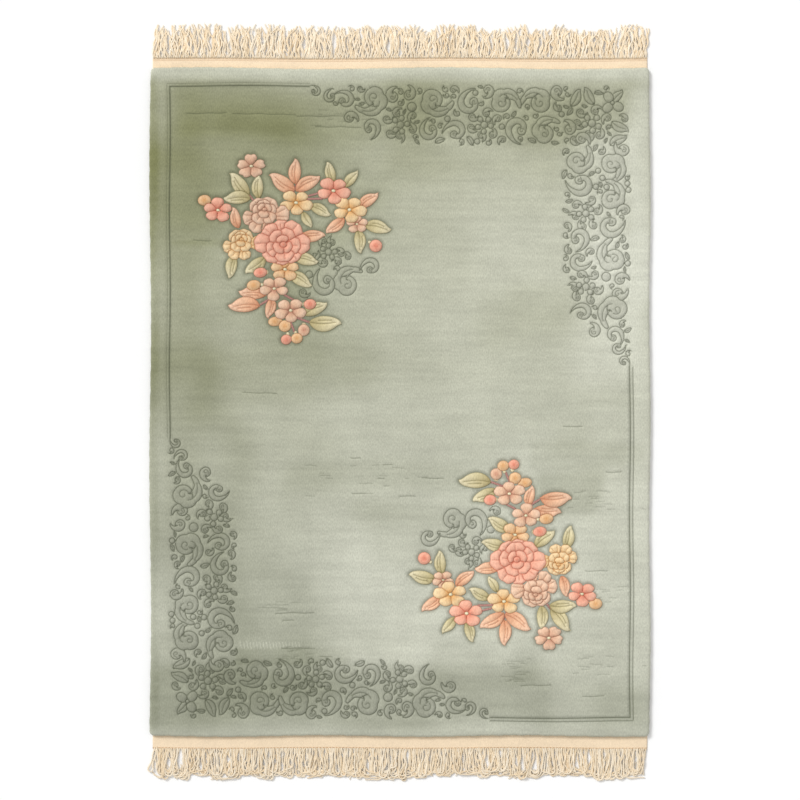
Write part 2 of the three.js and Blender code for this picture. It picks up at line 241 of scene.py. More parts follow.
def stroke(spine: Rows, half: Rows, cap: bool) -> Rows:
    """Outline a brush stroke.

    Args:
        spine: Points along its middle.
        half: Half its width at each point.
        cap: Whether it starts with a round end.

    Returns:
        The closed outline.
    """
    way = np.gradient(spine, axis=0)
    way /= np.linalg.norm(way, axis=1)[:, None]
    side = np.column_stack([-way[:, 1], way[:, 0]]) * half[:, None]
    left, right = spine + side, spine - side
    if not cap:
        return np.vstack([right, left[::-1]])
    first = math.degrees(math.atan2(side[0, 1], side[0, 0]))
    return np.vstack([right, left[::-1], spine[0] + ray(first + np.linspace(20, 160, 8), half[0])])


@dataclass(frozen=True)
class Place:
    """Where a motif goes: it is mirrored in its own x axis first, then turned, then moved."""

    x: float
    y: float
    turn: float = 0.0
    mirror: bool = False

    def apply(self, points: Rows) -> Rows:
        """Move plane points to this place."""
        flip = np.array([1, -1]) if self.mirror else np.ones(2)
        return turned(points * flip, self.turn) + np.array([self.x, self.y])


@dataclass
class Motif:
    """A carved shape, with its dyes, its relief, and the creases cut into it."""

    outline: Rows
    dye: Dye
    carving: Carving
    reach: float
    heart: Rows = field(default_factory=lambda: np.zeros((1, 2)))
    creases: list[Rows] = field(default_factory=list)
    crease: Carving = Carving.CREASE

    def mapped(self, move: Callable[[Rows], Rows]) -> Motif:
        """A copy of this motif, with every point moved."""
        lines = [move(line) for line in self.creases]
        return replace(self, outline=move(self.outline), heart=move(self.heart), creases=lines)


def placed(motifs: list[Motif], place: Place) -> list[Motif]:
    """Copies of motifs, moved to a place."""
    return [motif.mapped(place.apply) for motif in motifs]


def fitted(motifs: list[Motif], size: float) -> list[Motif]:
    """Copies of motifs, scaled about their middle to reach a distance from the origin."""
    points = np.vstack([motif.outline for motif in motifs])
    middle = (points.min(axis=0) + points.max(axis=0)) / 2
    scale = size / np.linalg.norm(points - middle, axis=1).max()
    return [motif.mapped(lambda rows: (rows - middle) * scale) for motif in motifs]


# Flowers and leaves, about their own origins

def oval(width: float, height: float, dye: Dye, carving: Carving) -> Motif:
    """A round or oval berry, bead or bud."""
    outline = ray(np.arange(0, 360, 15), 1.0) * np.array([width, height])
    return Motif(outline, dye, carving, 1.3 * max(width, height))


def leaf(length: float, dye: Dye, carving: Carving, bend: float = 0.1) -> Motif:
    """A broad leaf along x with a curled point, cut by a middle rib and, if large, a vein beside it.

    Args:
        length: From its base to its tip.
        dye: Its yarns.
        carving: How it is carved.
        bend: How far its middle bows to the left, as a share of its length.

    Returns:
        The leaf, with its base at the origin.
    """
    share = np.linspace(0, 1, 17)
    spine = np.column_stack([share, bend * np.sin(math.pi * share) + 1.5 * bend * share ** 7]) * length
    half = length * (0.235 * np.sin(math.pi * share ** 0.85) ** 0.8 + 0.012)
    creases = [spine[1:14]]
    if length > 50 and carving is Carving.LEAF:
        creases.append(spine[5:12] + np.array([0, 0.42]) * half[5:12, None])
    return Motif(stroke(spine, half, False), dye, carving, length, creases=creases)


def petal(reach: float, spread: float, dye: Dye, notch: float, frill: float, folds: int = 0) -> Motif:
    """One petal of a flower whose middle is the origin, pointing along x.

    Args:
        reach: From the middle to the petal's tip.
        spread: Half the angle that it fills, in degrees.
        dye: Its yarns.
        notch: How far its sides fall short of its tip, as a share of the reach.
        frill: Height of the waves along its rim, as a share of the reach.
        folds: How many folds run up it.

    Returns:
        The petal.
    """
    angle = np.linspace(-spread, spread, 19)
    part = angle / spread
    far = reach * (1 - notch * np.abs(part) ** 2.8 + frill * np.cos(9.4 * part + spread))
    creases = []
    for i in range(folds):
        slant = spread * (1 - 2 * (i + 0.5) / folds) * 0.8
        lengths = np.linspace(0.42, 0.84 + 0.06 * math.sin(i + spread), 7)
        creases.append(ray(slant * (0.7 + 0.4 * lengths), reach * lengths))
    outline = np.vstack([np.zeros((1, 2)), ray(angle, far)])
    return Motif(outline, dye, Carving.PETAL, reach, creases=creases, crease=Carving.FOLD)


def blossom(radius: float, dye: Dye, turn: float, notched: bool = False) -> list[Motif]:
    """An open flower of five petals round a cream eye, a little wider than it is high.

    Args:
        radius: From its middle to its petals' tips.
        dye: Its petals' yarns.
        turn: The way that its first petal points, in degrees.
        notched: Whether its petals have notched tips.

    Returns:
        Its petals and its eye.
    """
    made = []
    for i in range(5):
        one = petal(radius * (1 + 0.06 * math.sin(2.3 * i + radius)), 36, dye, 0.36, 0.012)
        if notched:
            rim = np.linspace(-4.5, 4.5, len(one.outline) - 1)
            one.outline[1:] *= (1 - 0.1 * np.exp(-(rim ** 2)))[:, None]
        made += placed([one], Place(0, 0, turn + 72 * i + 4 * math.sin(5 * i + radius)))
    eye = 0.13 * radius
    made.append(oval(eye, eye, Dye.CREAM, Carving.LEAF))
    flattened = np.array([1.1, 0.87])
    return [motif.mapped(lambda points: points * flattened) for motif in made]


PetalRow = tuple[float, float, float, float, float, int]


@dataclass(frozen=True)
class PeonyForm:
    """A full flower, in shares of its radius.

    Each petal has its base, its turn, its reach, half its spread in degrees, and its folds. The heart is an
    oval with its middle, and half its width and height.
    """

    petals: tuple[PetalRow, ...]
    heart: tuple[float, float, float, float]

    def motifs(self, radius: float, dye: Dye) -> list[Motif]:
        """The flower's petals, from the outermost to its heart."""
        made = []
        for x, y, turn, reach, spread, folds in self.petals:
            one = petal(reach * radius, spread, dye, 0.22, 0.016, folds)
            made += placed([replace(one, carving=Carving.PEONY)], Place(x * radius, y * radius, turn))
        x, y, width, height = (radius * share for share in self.heart)
        return made + placed([oval(width, height, dye, Carving.PEONY)], Place(x, y))


OPEN_PEONY = PeonyForm(
    petals=(
        (0.0, 0.02, 96, 0.84, 30, 1),
        (0.0, 0.02, 50, 0.92, 33, 1),
        (0.0, 0.02, 142, 0.88, 33, 1),
        (0.0, 0.04, 268, 0.86, 30, 1),
        (0.0, 0.04, 228, 0.92, 30, 1),
        (0.0, 0.04, 310, 0.9, 31, 1),
        (0.0, 0.04, 184, 1.06, 27, 1),
        (0.0, 0.04, -6, 1.04, 28, 1),
        (0.02, -0.02, 64, 0.6, 40, 0),
        (0.02, -0.02, 136, 0.58, 40, 0),
        (0.0, -0.04, 208, 0.64, 38, 1),
        (0.02, -0.04, 352, 0.66, 38, 1),
        (0.0, -0.02, 280, 0.7, 42, 1),
        (0.04, -0.1, 100, 0.4, 50, 0),
        (0.0, -0.06, 330, 0.38, 54, 0),
        (0.02, -0.04, 222, 0.4, 56, 0),
    ),
    heart=(0.03, -0.06, 0.13, 0.11),
)
CUP_PEONY = PeonyForm(
    petals=(
        (0.0, -0.1, 62, 0.86, 40, 1),
        (0.0, -0.1, 124, 0.84, 40, 1),
        (0.2, -0.2, 12, 1.0, 31, 2),
        (-0.16, -0.16, 190, 0.84, 33, 2),
        (-0.08, -0.2, 236, 0.84, 30, 1),
        (0.02, -0.2, 292, 0.8, 34, 2),
        (0.0, 0.06, 92, 0.54, 52, 1),
        (0.0, 0.1, 176, 0.54, 38, 0),
        (0.04, 0.1, 4, 0.54, 38, 0),
        (0.0, 0.14, 238, 0.74, 36, 1),
        (0.04, 0.14, 300, 0.7, 38, 1),
        (0.0, 0.12, 130, 0.34, 52, 0),
        (0.04, 0.12, 34, 0.34, 54, 0),
        (0.02, 0.18, 262, 0.44, 52, 0),
    ),
    heart=(0.03, 0.15, 0.12, 0.09),
)


def stem(x0: float, y0: float, x1: float, y1: float) -> Motif:
    """A thin stem between two points."""
    half, reach = 2.6, 40.0
    spine = np.linspace((x0, y0), (x1, y1), 6)
    return Motif(stroke(spine, np.full(len(spine), half), False), Dye.STEM, Carving.LEAF, reach)


# Scrolls, each fitted to a size about its own origin

def coil(radius: float, start: float) -> Rows:
    """A line that winds inwards about the origin."""
    share = np.linspace(0, 1, 22)
    return ray(start + 330 * share, radius * (1 - 0.75 * share))


def curl(spine: Rows, half: Rows, creases: list[Rows], size: float) -> list[Motif]:
    """A scroll along a spine with half its width at each point, scaled to a size."""
    outline = stroke(spine, half, True)
    return fitted([Motif(outline, Dye.SCROLL, Carving.SCROLL, 1.0, creases=creases)], size)


def comma(size: float) -> list[Motif]:
    """A round curl whose tail sweeps off to the left."""
    share = np.linspace(0, 1, 16)
    spine = ray(125 * share - 20, 2.1 * share ** 1.1)
    half = 0.92 * (1 - share) ** 0.9 + 0.12
    creases = [coil(0.6, 150)] if size > 10 else []
    return curl(spine, half, creases, size)


def volute(size: float) -> list[Motif]:
    """A hook that winds out of a round head and ends in a fine tail."""
    share = np.linspace(0, 1, 32)
    spine = ray(310 * share, 0.3 + 0.6 * share ** 0.8 + 0.3 * np.clip(share * 5 - 4, 0, 1) ** 1.6)
    half = np.interp(share, (0, 0.1, 0.3, 0.55, 0.8, 1), (0.33, 0.2, 0.2, 0.27, 0.2, 0.03))
    return curl(spine, half, [coil(0.2, 60) + np.array([0.3, 0])], size)


def acanthus(size: float) -> list[Motif]:
    """A broad curl whose tail sweeps round in lobes, with a rib along it."""
    share = np.linspace(0, 1, 48)
    spine = ray(185 * share - 20, 1.85 * share ** 1.08)
    lobes = np.abs(np.sin(3.3 * math.pi * share + 0.6)) ** 0.55
    half = (0.8 * (1 - share) ** 0.7 + 0.09) * (0.72 + 0.36 * lobes)
    return curl(spine, half, [coil(0.46, 150), spine[18:41]], size)


def bead(size: float) -> list[Motif]:
    """A round bead."""
    return [oval(size, size, Dye.SCROLL, Carving.SCROLL)]


def scroll_leaf(size: float) -> list[Motif]:
    """A small leaf with its middle at the origin."""
    return placed([leaf(2 * size, Dye.SCROLL, Carving.SCROLL, 0.14)], Place(-size, 0))


def rosette(size: float) -> list[Motif]:
    """A loose ring of curls and beads round a bead."""
    made = []
    for i in range(6):
        turn = 60 * i + 9 * math.sin(3 * i + size)
        far = size * (0.7 + 0.05 * math.sin(5 * i))
        lean = turn + 40 + 80 * (i % 2)
        made += placed(comma(size * 0.32), Place(*ray(turn, far)[0], turn=lean, mirror=i % 3 == 1))
    for i in range(5):
        turn = 72 * i + 8 * math.sin(4 * i + size)
        made += placed(bead(0.15 * size), Place(*ray(turn, 0.37 * size)[0]))
    return made + bead(0.19 * size)


def scroll_flower(size: float) -> list[Motif]:
    """A flower of three round petals and a leaf."""
    made = placed(scroll_leaf(0.52 * size), Place(0.44 * size, 0.1 * size, 20))
    for turn in (100, 200, 300):
        one = oval(0.34 * size, 0.28 * size, Dye.SCROLL, Carving.SCROLL)
        made += placed([one], Place(*ray(turn, 0.42 * size)[0], turn=turn))
    return made + bead(0.12 * size)


SCROLLS: dict[str, Callable[[float], list[Motif]]] = {
    "acanthus": acanthus,
    "volute": volute,
    "comma": comma,
    "rosette": rosette,
    "flower": scroll_flower,
    "leaf": scroll_leaf,
    "bead": bead,
}

ScrollRow = tuple[str, float, float, float, float, bool]


def scrolls(rows: tuple[ScrollRow, ...], stretch: float = 1.0, widen: float = 1.0) -> list[Motif]:
    """Make scrolls from rows.

    Args:
        rows: The kind of each scroll, its middle, its size, its turn, and whether it is mirrored.
        stretch: A factor for the middles' x.
        widen: A factor for the middles' y.

    Returns:
        Every scroll's motifs, in place.
    """
    made = []
    for kind, x, y, size, turn, mirror in rows:
        made += placed(SCROLLS[kind](size), Place(stretch * x, widen * y, turn, mirror))
    return made


def fillers(motifs: list[Motif], spots: Rows, most: float) -> list[Motif]:
    """Small curls, leaves and beads for the room that is left between motifs.

    Args:
        motifs: The motifs so far.
        spots: Points to try, in order.
        most: The largest size.

    Returns:
        The small ones, clear of the motifs and of each other.
    """
    spacing, gap, least, comma_least, turn_step = 2.5, 2.2, 6.6, 7, 137
    made = []
    edge = np.vstack([resampled(motif.outline, spacing, True) for motif in motifs])
    for number, spot in enumerate(spots):
        room = np.linalg.norm(edge - spot, axis=1).min() - gap
        if room < least or any(inside(spot[None], motif.outline)[0] for motif in motifs + made):
            continue
        kind = "comma" if room > comma_least else "bead"
        if number % 3 == 0:
            kind = "leaf"
        place = Place(*spot, turn=turn_step * number % 360, mirror=number % 2 == 0)
        one = placed(SCROLLS[kind](min(room, most)), place)
        made += one
        edge = np.vstack([edge] + [resampled(motif.outline, spacing, True) for motif in one])
    return made


# The pattern

PeonyRow = tuple[PeonyForm, float, float, float, Dye]
BlossomRow = tuple[float, float, float, Dye, float]
LeafRow = tuple[float, float, float, float, Dye, float]
BerryRow = tuple[float, float, float, float, Dye]
StemRow = tuple[float, float, float, float]


@dataclass(frozen=True)
class Spray:
    """A spray of flowers about the heart of its largest peony.

    Peonies have their form, middle, radius and dye, and blossoms their middle, radius, dye and turn. Leaves
    have their base, length, turn, dye and bow. Berries have their middle, half their width and height, and
    dye. Calyxes have their middle, and stems their two ends.
    """

    x: float = -286
    y: float = 387
    peonies: tuple[PeonyRow, ...] = (
        (CUP_PEONY, -101, 2, 44, Dye.YELLOW),
        (CUP_PEONY, -45, 74, 52, Dye.ROSE),
        (OPEN_PEONY, 0, 0, 65, Dye.CORAL),
    )
    blossoms: tuple[BlossomRow, ...] = (
        (181, 46, 25, Dye.PINK, 20),
        (-76, 187, 34, Dye.ROSE, 90),
        (-157, 80, 33, Dye.CORAL, 88),
        (33, 98, 36, Dye.YELLOW, 56),
        (163, 81, 37, Dye.YELLOW, 62),
        (124, 127, 37, Dye.CORAL, 56),
        (6, -64, 33, Dye.APRICOT, 90),
        (-20, -111, 33, Dye.PINK, 52),
        (20, -164, 35, Dye.PINK, 58),
    )
    leaves: tuple[LeafRow, ...] = (
        (-80, 117, 70, 124, Dye.OLIVE, 0.1),
        (-57, 108, 58, 86, Dye.OLIVE, 0.1),
        (-77, 108, 66, 187, Dye.OLIVE, -0.1),
        (31, 129, 72, 141, Dye.PEACH, 0.1),
        (33, 143, 62, 84, Dye.PEACH, 0.1),
        (33, 126, 68, 24, Dye.PEACH, 0.1),
        (126, 148, 52, 102, Dye.OLIVE, 0.1),
        (153, 135, 50, 46, Dye.OLIVE, 0.1),
        (187, 84, 58, 30, Dye.PEACH, 0.12),
        (150, 61, 57, 214, Dye.PEACH, 0.08),
        (46, 20, 58, 6, Dye.PEACH, -0.1),
        (66, 90, 56, -31, Dye.OLIVE, 0.1),
        (50, 76, 44, -55, Dye.OLIVE, -0.1),
        (199, 42, 66, -16, Dye.OLIVE, 0.1),
        (183, 32, 58, -90, Dye.OLIVE, 0.1),
        (26, -37, 62, -16, Dye.OLIVE, 0.1),
        (14, -76, 64, -34, Dye.OLIVE, 0.1),
        (-115, -30, 58, -98, Dye.OLIVE, -0.1),
        (-42, -34, 62, 212, Dye.OLIVE, 0.1),
        (-40, -127, 66, 182, Dye.PEACH, -0.12),
        (-55, -153, 76, 189, Dye.PEACH, -0.12),
        (-26, -132, 52, -108, Dye.PEACH, 0.1),
        (52, -176, 64, 20, Dye.OLIVE, 0.1),
        (65, -192, 78, 5, Dye.OLIVE, -0.1),
        (-106, 36, 52, 98, Dye.PEACH, 0.1),
    )
    berries: tuple[BerryRow, ...] = (
        (-190, 104, 16, 13, Dye.APRICOT),
        (227, -7, 15.5, 15, Dye.CORAL),
        (-54, -72, 16.5, 12, Dye.CORAL),
        (-70, -103, 17, 12.5, Dye.APRICOT),
        (67, -149, 15, 12.5, Dye.CORAL),
        (-18, -191, 17, 11.5, Dye.APRICOT),
        (6, -202, 15, 14, Dye.APRICOT),
        (52, -212, 14, 14, Dye.PINK),
        (9, -235, 13, 12, Dye.CORAL),
        (35, -232, 14, 12.5, Dye.APRICOT),
    )
    calyx: float = 4.2
    calyxes: tuple[tuple[float, float], ...] = (
        (-38, -71), (-50, -102), (52, -150), (13, -221), (32, -218), (52, -198), (212, 2),
    )
    stems: tuple[StemRow, ...] = (
        (-85, 121, -66, 98),
        (60, 114, 94, 122),
        (60, 107, 98, 108),
        (-24, -132, -62, -155),
        (0, -124, 36, -143),
        (36, -182, 68, -194),
        (18, -190, 31, -220),
        (26, 124, 38, 150),
        (192, 58, 206, 38),
        (-54, -103, -36, -102),
    )
    scrolls: tuple[ScrollRow, ...] = (
        ("acanthus", 162, -90, 40, 206, True),
        ("volute", 100, -98, 38, 60, True),
        ("volute", 213, -56, 28, 250, False),
        ("rosette", 112, -22, 42, 10, False),
        ("comma", 158, -30, 12, 40, False),
        ("bead", 65, -77, 9, 0, False),
        ("comma", 54, -124, 15, 250, False),
        ("comma", 132, -62, 9, 100, False),
    )

    def motifs(self) -> list[Motif]:
        """Every motif of the spray, from the lowest to the topmost."""
        made = scrolls(self.scrolls)
        made += [stem(*row) for row in self.stems]
        for x, y, length, turn, dye, bend in self.leaves:
            made += placed([leaf(length, dye, Carving.LEAF, bend)], Place(x, y, turn))
        for x, y in self.calyxes:
            made += placed([oval(self.calyx, self.calyx, Dye.CREAM, Carving.LEAF)], Place(x, y))
        for x, y, width, height, dye in self.berries:
            made += placed([oval(width, height, dye, Carving.PETAL)], Place(x, y, 8))
        for x, y, radius, dye, turn in self.blossoms:
            made += placed(blossom(radius, dye, turn, dye is Dye.ROSE), Place(x, y))
        for form, x, y, radius, dye in self.peonies:
            made += placed(form.motifs(radius, dye), Place(x, y))
        return placed(made, Place(self.x, self.y))


@dataclass(frozen=True)
class CornerScrolls:
    """Scrollwork in the corner with the largest x and y, in two arms along the border.

    Each row gives a distance along an arm from the corner and a distance inwards from the border line, which
    a factor for each arm widens. The rows' lengths are those of the end arm, and the side arm is shorter.
    """

    half_width: float = BORDER_HALF_WIDTH
    half_length: float = BORDER_HALF_LENGTH
    end_arm: float = 785
    side_arm: float = 687
    depth: float = 136
    widen_end: float = 1.04
    widen_side: float = 1.18
    filler: float = 13
    arm: tuple[ScrollRow, ...] = (
        ("comma", 150, 98, 21, 200, False),
        ("comma", 180, 22, 22, 30, False),
        ("acanthus", 234, 38, 38, 200, False),
        ("acanthus", 206, 104, 37, 20, True),
        ("acanthus", 304, 40, 38, 330, True),
        ("volute", 280, 106, 38, 150, False),
        ("comma", 348, 18, 19, 160, True),
        ("rosette", 358, 94, 44, 20, False),
        ("volute", 396, 40, 37, 200, True),
        ("acanthus", 472, 42, 41, 10, False),
        ("volute", 430, 106, 33, 60, False),
        ("volute", 494, 106, 31, 220, True),
        ("comma", 538, 19, 20, 170, False),
        ("bead", 534, 52, 11, 0, False),
        ("rosette", 562, 94, 45, 40, False),
        ("comma", 582, 22, 22, 350, True),
        ("acanthus", 634, 40, 41, 190, True),
        ("volute", 630, 102, 29, 40, True),
        ("volute", 696, 32, 28, 20, False),
        ("comma", 680, 76, 20, 260, True),
        ("volute", 734, 26, 20, 200, True),
        ("volute", 768, 14, 16, 350, False),
    )
    corner: tuple[ScrollRow, ...] = (
        ("rosette", 96, 94, 48, 15, False),
        ("flower", 46, 44, 40, 205, False),
        ("leaf", 98, 26, 23, 290, False),
        ("leaf", 140, 30, 23, 250, True),
        ("leaf", 26, 98, 23, 160, True),
        ("leaf", 30, 140, 23, 200, False),
        ("comma", 138, 138, 14, 40, False),
    )

    def on_end(self, points: Rows) -> Rows:
        """From distances along and across the end arm to the rug."""
        return np.array([self.half_width, self.half_length]) - points

    def on_side(self, points: Rows) -> Rows:
        """From distances along and across the side arm to the rug."""
        return self.on_end(points[:, ::-1])

    def spots(self, length: float, depth: float, random: np.random.Generator) -> Rows:
        """Points to fill along one arm of a depth, over a band that narrows towards its end."""
        spots = random.uniform((60, 7), (length, depth), (2600, 2))
        limit = np.interp(spots[:, 0] / length, (0.0, 0.68, 0.88, 1.0), (depth, depth, 66, 22))
        return spots[spots[:, 1] < limit]

    def motifs(self) -> list[Motif]:
        """Every motif of the corner."""
        random = np.random.default_rng(SEED)
        corner = scrolls(self.corner)
        end = corner + scrolls(self.arm, 1.0, self.widen_end)
        end += fillers(end, self.spots(self.end_arm, self.widen_end * self.depth, random), self.filler)
        short = self.side_arm / self.end_arm
        mirrored = [motif.mapped(lambda points: points[:, ::-1]) for motif in end]
        side = scrolls(self.arm, short, self.widen_side)
        spots = self.spots(self.side_arm, self.widen_side * self.depth, random)
        side += fillers(mirrored + side, spots, self.filler)
        return [motif.mapped(self.on_end) for motif in end] + [motif.mapped(self.on_side) for motif in side]


INNER_LINE = -3.5
FAINT_LINE = 3.5
TWIN_LINE = 4.5


def border_lines(side: float) -> list[Rows]:
    """One carved border line round the corner with the smallest x and the largest y.

    Args:
        side: How far it lies outside the middle of the double line.

    Returns:
        Its run along the end and its run along the side.
    """
    end_run, side_run, sway = 341, 857, 1.2
    x, y = -BORDER_HALF_WIDTH - side, BORDER_HALF_LENGTH + side
    runs = (
        np.linspace((end_run - BORDER_HALF_WIDTH, y), (x, y), 40),
        np.linspace((x, y), (x, BORDER_HALF_LENGTH - side_run), 80),
    )
    return [run + sway * np.sin(run.sum(axis=1)[:, None] / 61 + np.array([0, 1.3])) for run in runs]


def split(x: float, y: float, length: float) -> Rows:
    """A thin uneven split between two rows of knots, about its middle."""
    along = np.linspace(-0.5, 0.5, max(4, round(length / 7))) * length
    sway = 0.7 * np.sin(along / 9 + x) + 1.1 * np.sin(along / 37 + y)
    return np.column_stack([x + along, y + sway])


SPLITS = (
    (-330, 700, 150),
    (-190, 696, 120),
    (-470, 703, 90),
    (-150, 668, 110),
    (80, -186, 54),
    (-46, -186, 13),
    (-108, -137, 20),
    (-30, -152, 22),
    (-100, -222, 30),
    (20, -228, 36),
    (478, -410, 52),
    (-255, -514, 90),
    (-270, -530, 22),
    (-250, -598, 70),
    (-178, -620, 26),
    (-480, 392, 40),
    (420, -60, 44),
    (520, -170, 36),
    (330, -690, 70),
    (470, -716, 50),
    (-340, 22, 80),
)

FLECKS = (
    (285, -652, 26, 30, 22),
    (-287, -500, 40, 14, 14),
    (-250, -612, 44, 16, 14),
    (470, -236, 60, 26, 16),
    (500, -470, 50, 30, 12),
    (-120, 690, 90, 30, 12),
    (-60, -190, 170, 40, 16),
    (480, -640, 70, 24, 12),
)


def flecks() -> list[Rows]:
    """Short dark flecks between rows of knots: each patch has its middle, half its size, and how many."""
    random = np.random.default_rng(SEED)
    made = []
    for x, y, across, along, count in FLECKS:
        for _ in range(count):
            middle_x = x + across * random.normal(0, 0.6)
            middle_y = y + along * random.uniform(-1, 1)
            made.append(split(middle_x, middle_y, random.uniform(7, 26)))
    return made


def comb_marks() -> list[Rows]:
    """A row of short pale strokes, where the nap was combed up."""
    # The strokes are painted lighter, as the sheen of nap combed up.
    left, right, top, bottom, slant, count = -388, -246, -585, -597, 2.5, 19
    return [np.linspace((x, top), (x + slant, bottom), 5) for x in np.linspace(left, right, count)]


# Painted sheen and shade of the pile's nap

NAP_SHEEN_LEVEL = 0.66
NAP_SHEEN_PATCHES = (
    (-700, -150, 90, 700, 320, -0.30),
    (-700, 120, 560, 790, 180, -0.16),
    (-640, -420, -60, 380, 120, -0.06),
    (-700, 60, 60, 620, 420, -0.10),
    (-560, 560, 640, 770, 60, -0.16),
    (300, 560, 640, 770, 80, -0.06),
    (430, 600, 40, 660, 80, 0.17),
    (-700, -340, 130, 420, 120, 0.17),
    (-500, -200, -10, 120, 80, -0.12),
    (-480, -340, -410, -260, 80, -0.10),
    (-200, 260, -680, -590, 60, 0.10),
    (560, 640, -700, 760, 26, 0.12),
    (-640, 640, 784, 840, 22, 0.20),
    (-590, -380, -640, -20, 90, -0.17),
    (-470, -200, -620, -420, 90, -0.12),
    (-600, 360, -790, -640, 60, -0.28),
    (-480, -120, -740, -620, 80, -0.12),
    (100, 600, -780, -690, 50, -0.10),
    (-140, 380, -660, -300, 220, 0.16),
    (160, 540, 150, 480, 240, 0.10),
    (230, 640, -560, -120, 160, 0.12),
    (-280, 160, -215, -150, 44, -0.10),
    (-120, 180, -300, -235, 44, -0.06),
    (260, 560, 220, 300, 70, -0.09),
    (300, 600, -420, -350, 60, -0.08),
    (360, 600, -140, -60, 60, -0.08),
    (-400, -120, -636, -600, 14, -0.14),
    (-160, 300, -30, 50, 70, 0.05),
    (-620, -590, -800, 800, 12, -0.16),
    (-560, -230, 380, 395, 16, -0.10),
    (-330, -40, 430, 470, 40, 0.05),
    (-640, -470, -400, 790, 90, -0.11),
    (-40, 480, 540, 800, 80, -0.12),
    (-480, -200, -560, 120, 140, -0.10),
    (-620, -210, -800, -560, 90, -0.12),
    (200, 470, 130, 260, 80, -0.13),
    (465, 600, 265, 400, 60, 0.17),
    (330, 490, -280, -170, 40, -0.25),
    (324, 600, -156, -100, 22, -0.11),
    (60, 330, -690, -560, 60, -0.21),
    (60, 330, -800, -690, 40, 0.11),
    (470, 620, -800, -680, 60, -0.13),
    (-80, 180, -400, -260, 80, -0.12),
    (460, 600, -120, 0, 60, 0.10),
)


def painted_nap_sheen(points: Rows) -> Rows:
    """The lie of the pile at plane points, from 0, shaded, to 1, brushed.

    Each patch has its two x, its two y, the softness of its edge, and what it adds. The tone is the painted
    sheen and shade of the nap, with some abrash streaks among it.
    """
    def rise(value: Rows, soft: float) -> Rows:
        part = np.clip(value / soft + 0.5, 0, 1)
        return part * part * (3 - 2 * part)

    x, y = points[:, 0], points[:, 1]
    total = np.full(len(points), NAP_SHEEN_LEVEL)
    for x0, x1, y0, y1, soft, tone in NAP_SHEEN_PATCHES:
        wander = 0.35 * soft * np.sin(x / 83 + 3 * y0) * np.sin(y / 67 + x0)
        for room in (x - x0, x1 - x, y - y0, y1 - y):
            tone = tone * rise(room + wander, soft)
        total += tone
    return np.clip(total, 0.0, 1.0)


# Meshes

class PointBed:
    """Plane points that keep a distance from each other."""

    CELL = 3.0

    def __init__(self) -> None:
        """Start with no points."""
        self.points: list[tuple[float, float]] = []
        self.cells: dict[tuple[int, int], list[tuple[float, float]]] = {}

    def add(self, points: Rows, clearance: float) -> None:
        """Add each point that lies clear of all the points so far.

        Args:
            points: Plane points, in order of importance.
            clearance: The least distance to any other point.
        """
        ring = math.ceil(clearance / self.CELL)
        least = clearance * clearance
        around = [(i, j) for i in range(-ring, ring + 1) for j in range(-ring, ring + 1)]
        for x, y in points.tolist():
            column, row = int(x // self.CELL), int(y // self.CELL)
            cells = (self.cells.get((column + i, row + j), ()) for i, j in around)
            if any((x - a) ** 2 + (y - b) ** 2 < least for cell in cells for a, b in cell):
                continue
            self.points.append((x, y))
            self.cells.setdefault((column, row), []).append((x, y))


def make_object(name: str, vertices: Rows, faces: Sequence[Sequence[int]], material: Material) -> Object:
    """Make a smooth object at the scene's origin.

    Args:
        name: The piece's name.
        vertices: Points in millimetres.
        faces: Corner numbers of each face.
        material: Its finish.

    Returns:
        The object.
    """
    mesh = bpy.data.meshes.new(name)
    mesh.from_pydata((np.asarray(vertices) * MM).tolist(), [], faces)
    mesh.polygons.foreach_set("use_smooth", [True] * len(mesh.polygons))
    mesh.materials.append(material)
    mesh.update()
    piece = bpy.data.objects.new(name, mesh)
    bpy.context.scene.collection.objects.link(piece)
    LOG.info("%s: %d vertices, %d faces", name, len(mesh.vertices), len(mesh.polygons))
    return piece


def paint(piece: Object, colours: Rows, domain: str) -> None:
    """Store one colour for each point or corner of a piece: its dyes with any painted shade and sheen."""
    layer = piece.data.color_attributes.new("dye", "FLOAT_COLOR", domain)
    layer.data.foreach_set("color", np.column_stack([colours, np.ones(len(colours))]).ravel())


@dataclass(frozen=True)
class Waver:
    """The uneven line of one edge: the height of its wave, its waves for each metre, and its phase."""

    height: float
    waves: float
    phase: float

    def __call__(self, distance: float | Rows) -> float | Rows:
        """How far the edge stands out at a distance along it."""
        return self.height * np.sin(FULL_TURN * self.waves * distance / 1000 + self.phase)


EDGES = {
    "right": Waver(1.6, 1.9, 1.1),
    "far": Waver(2.2, 1.7, 0.4),
    "left": Waver(2.0, 1.4, 3.0),
    "near": Waver(1.8, 2.1, 2.2),
}

Groove = tuple[Rows, Rows, Relief]


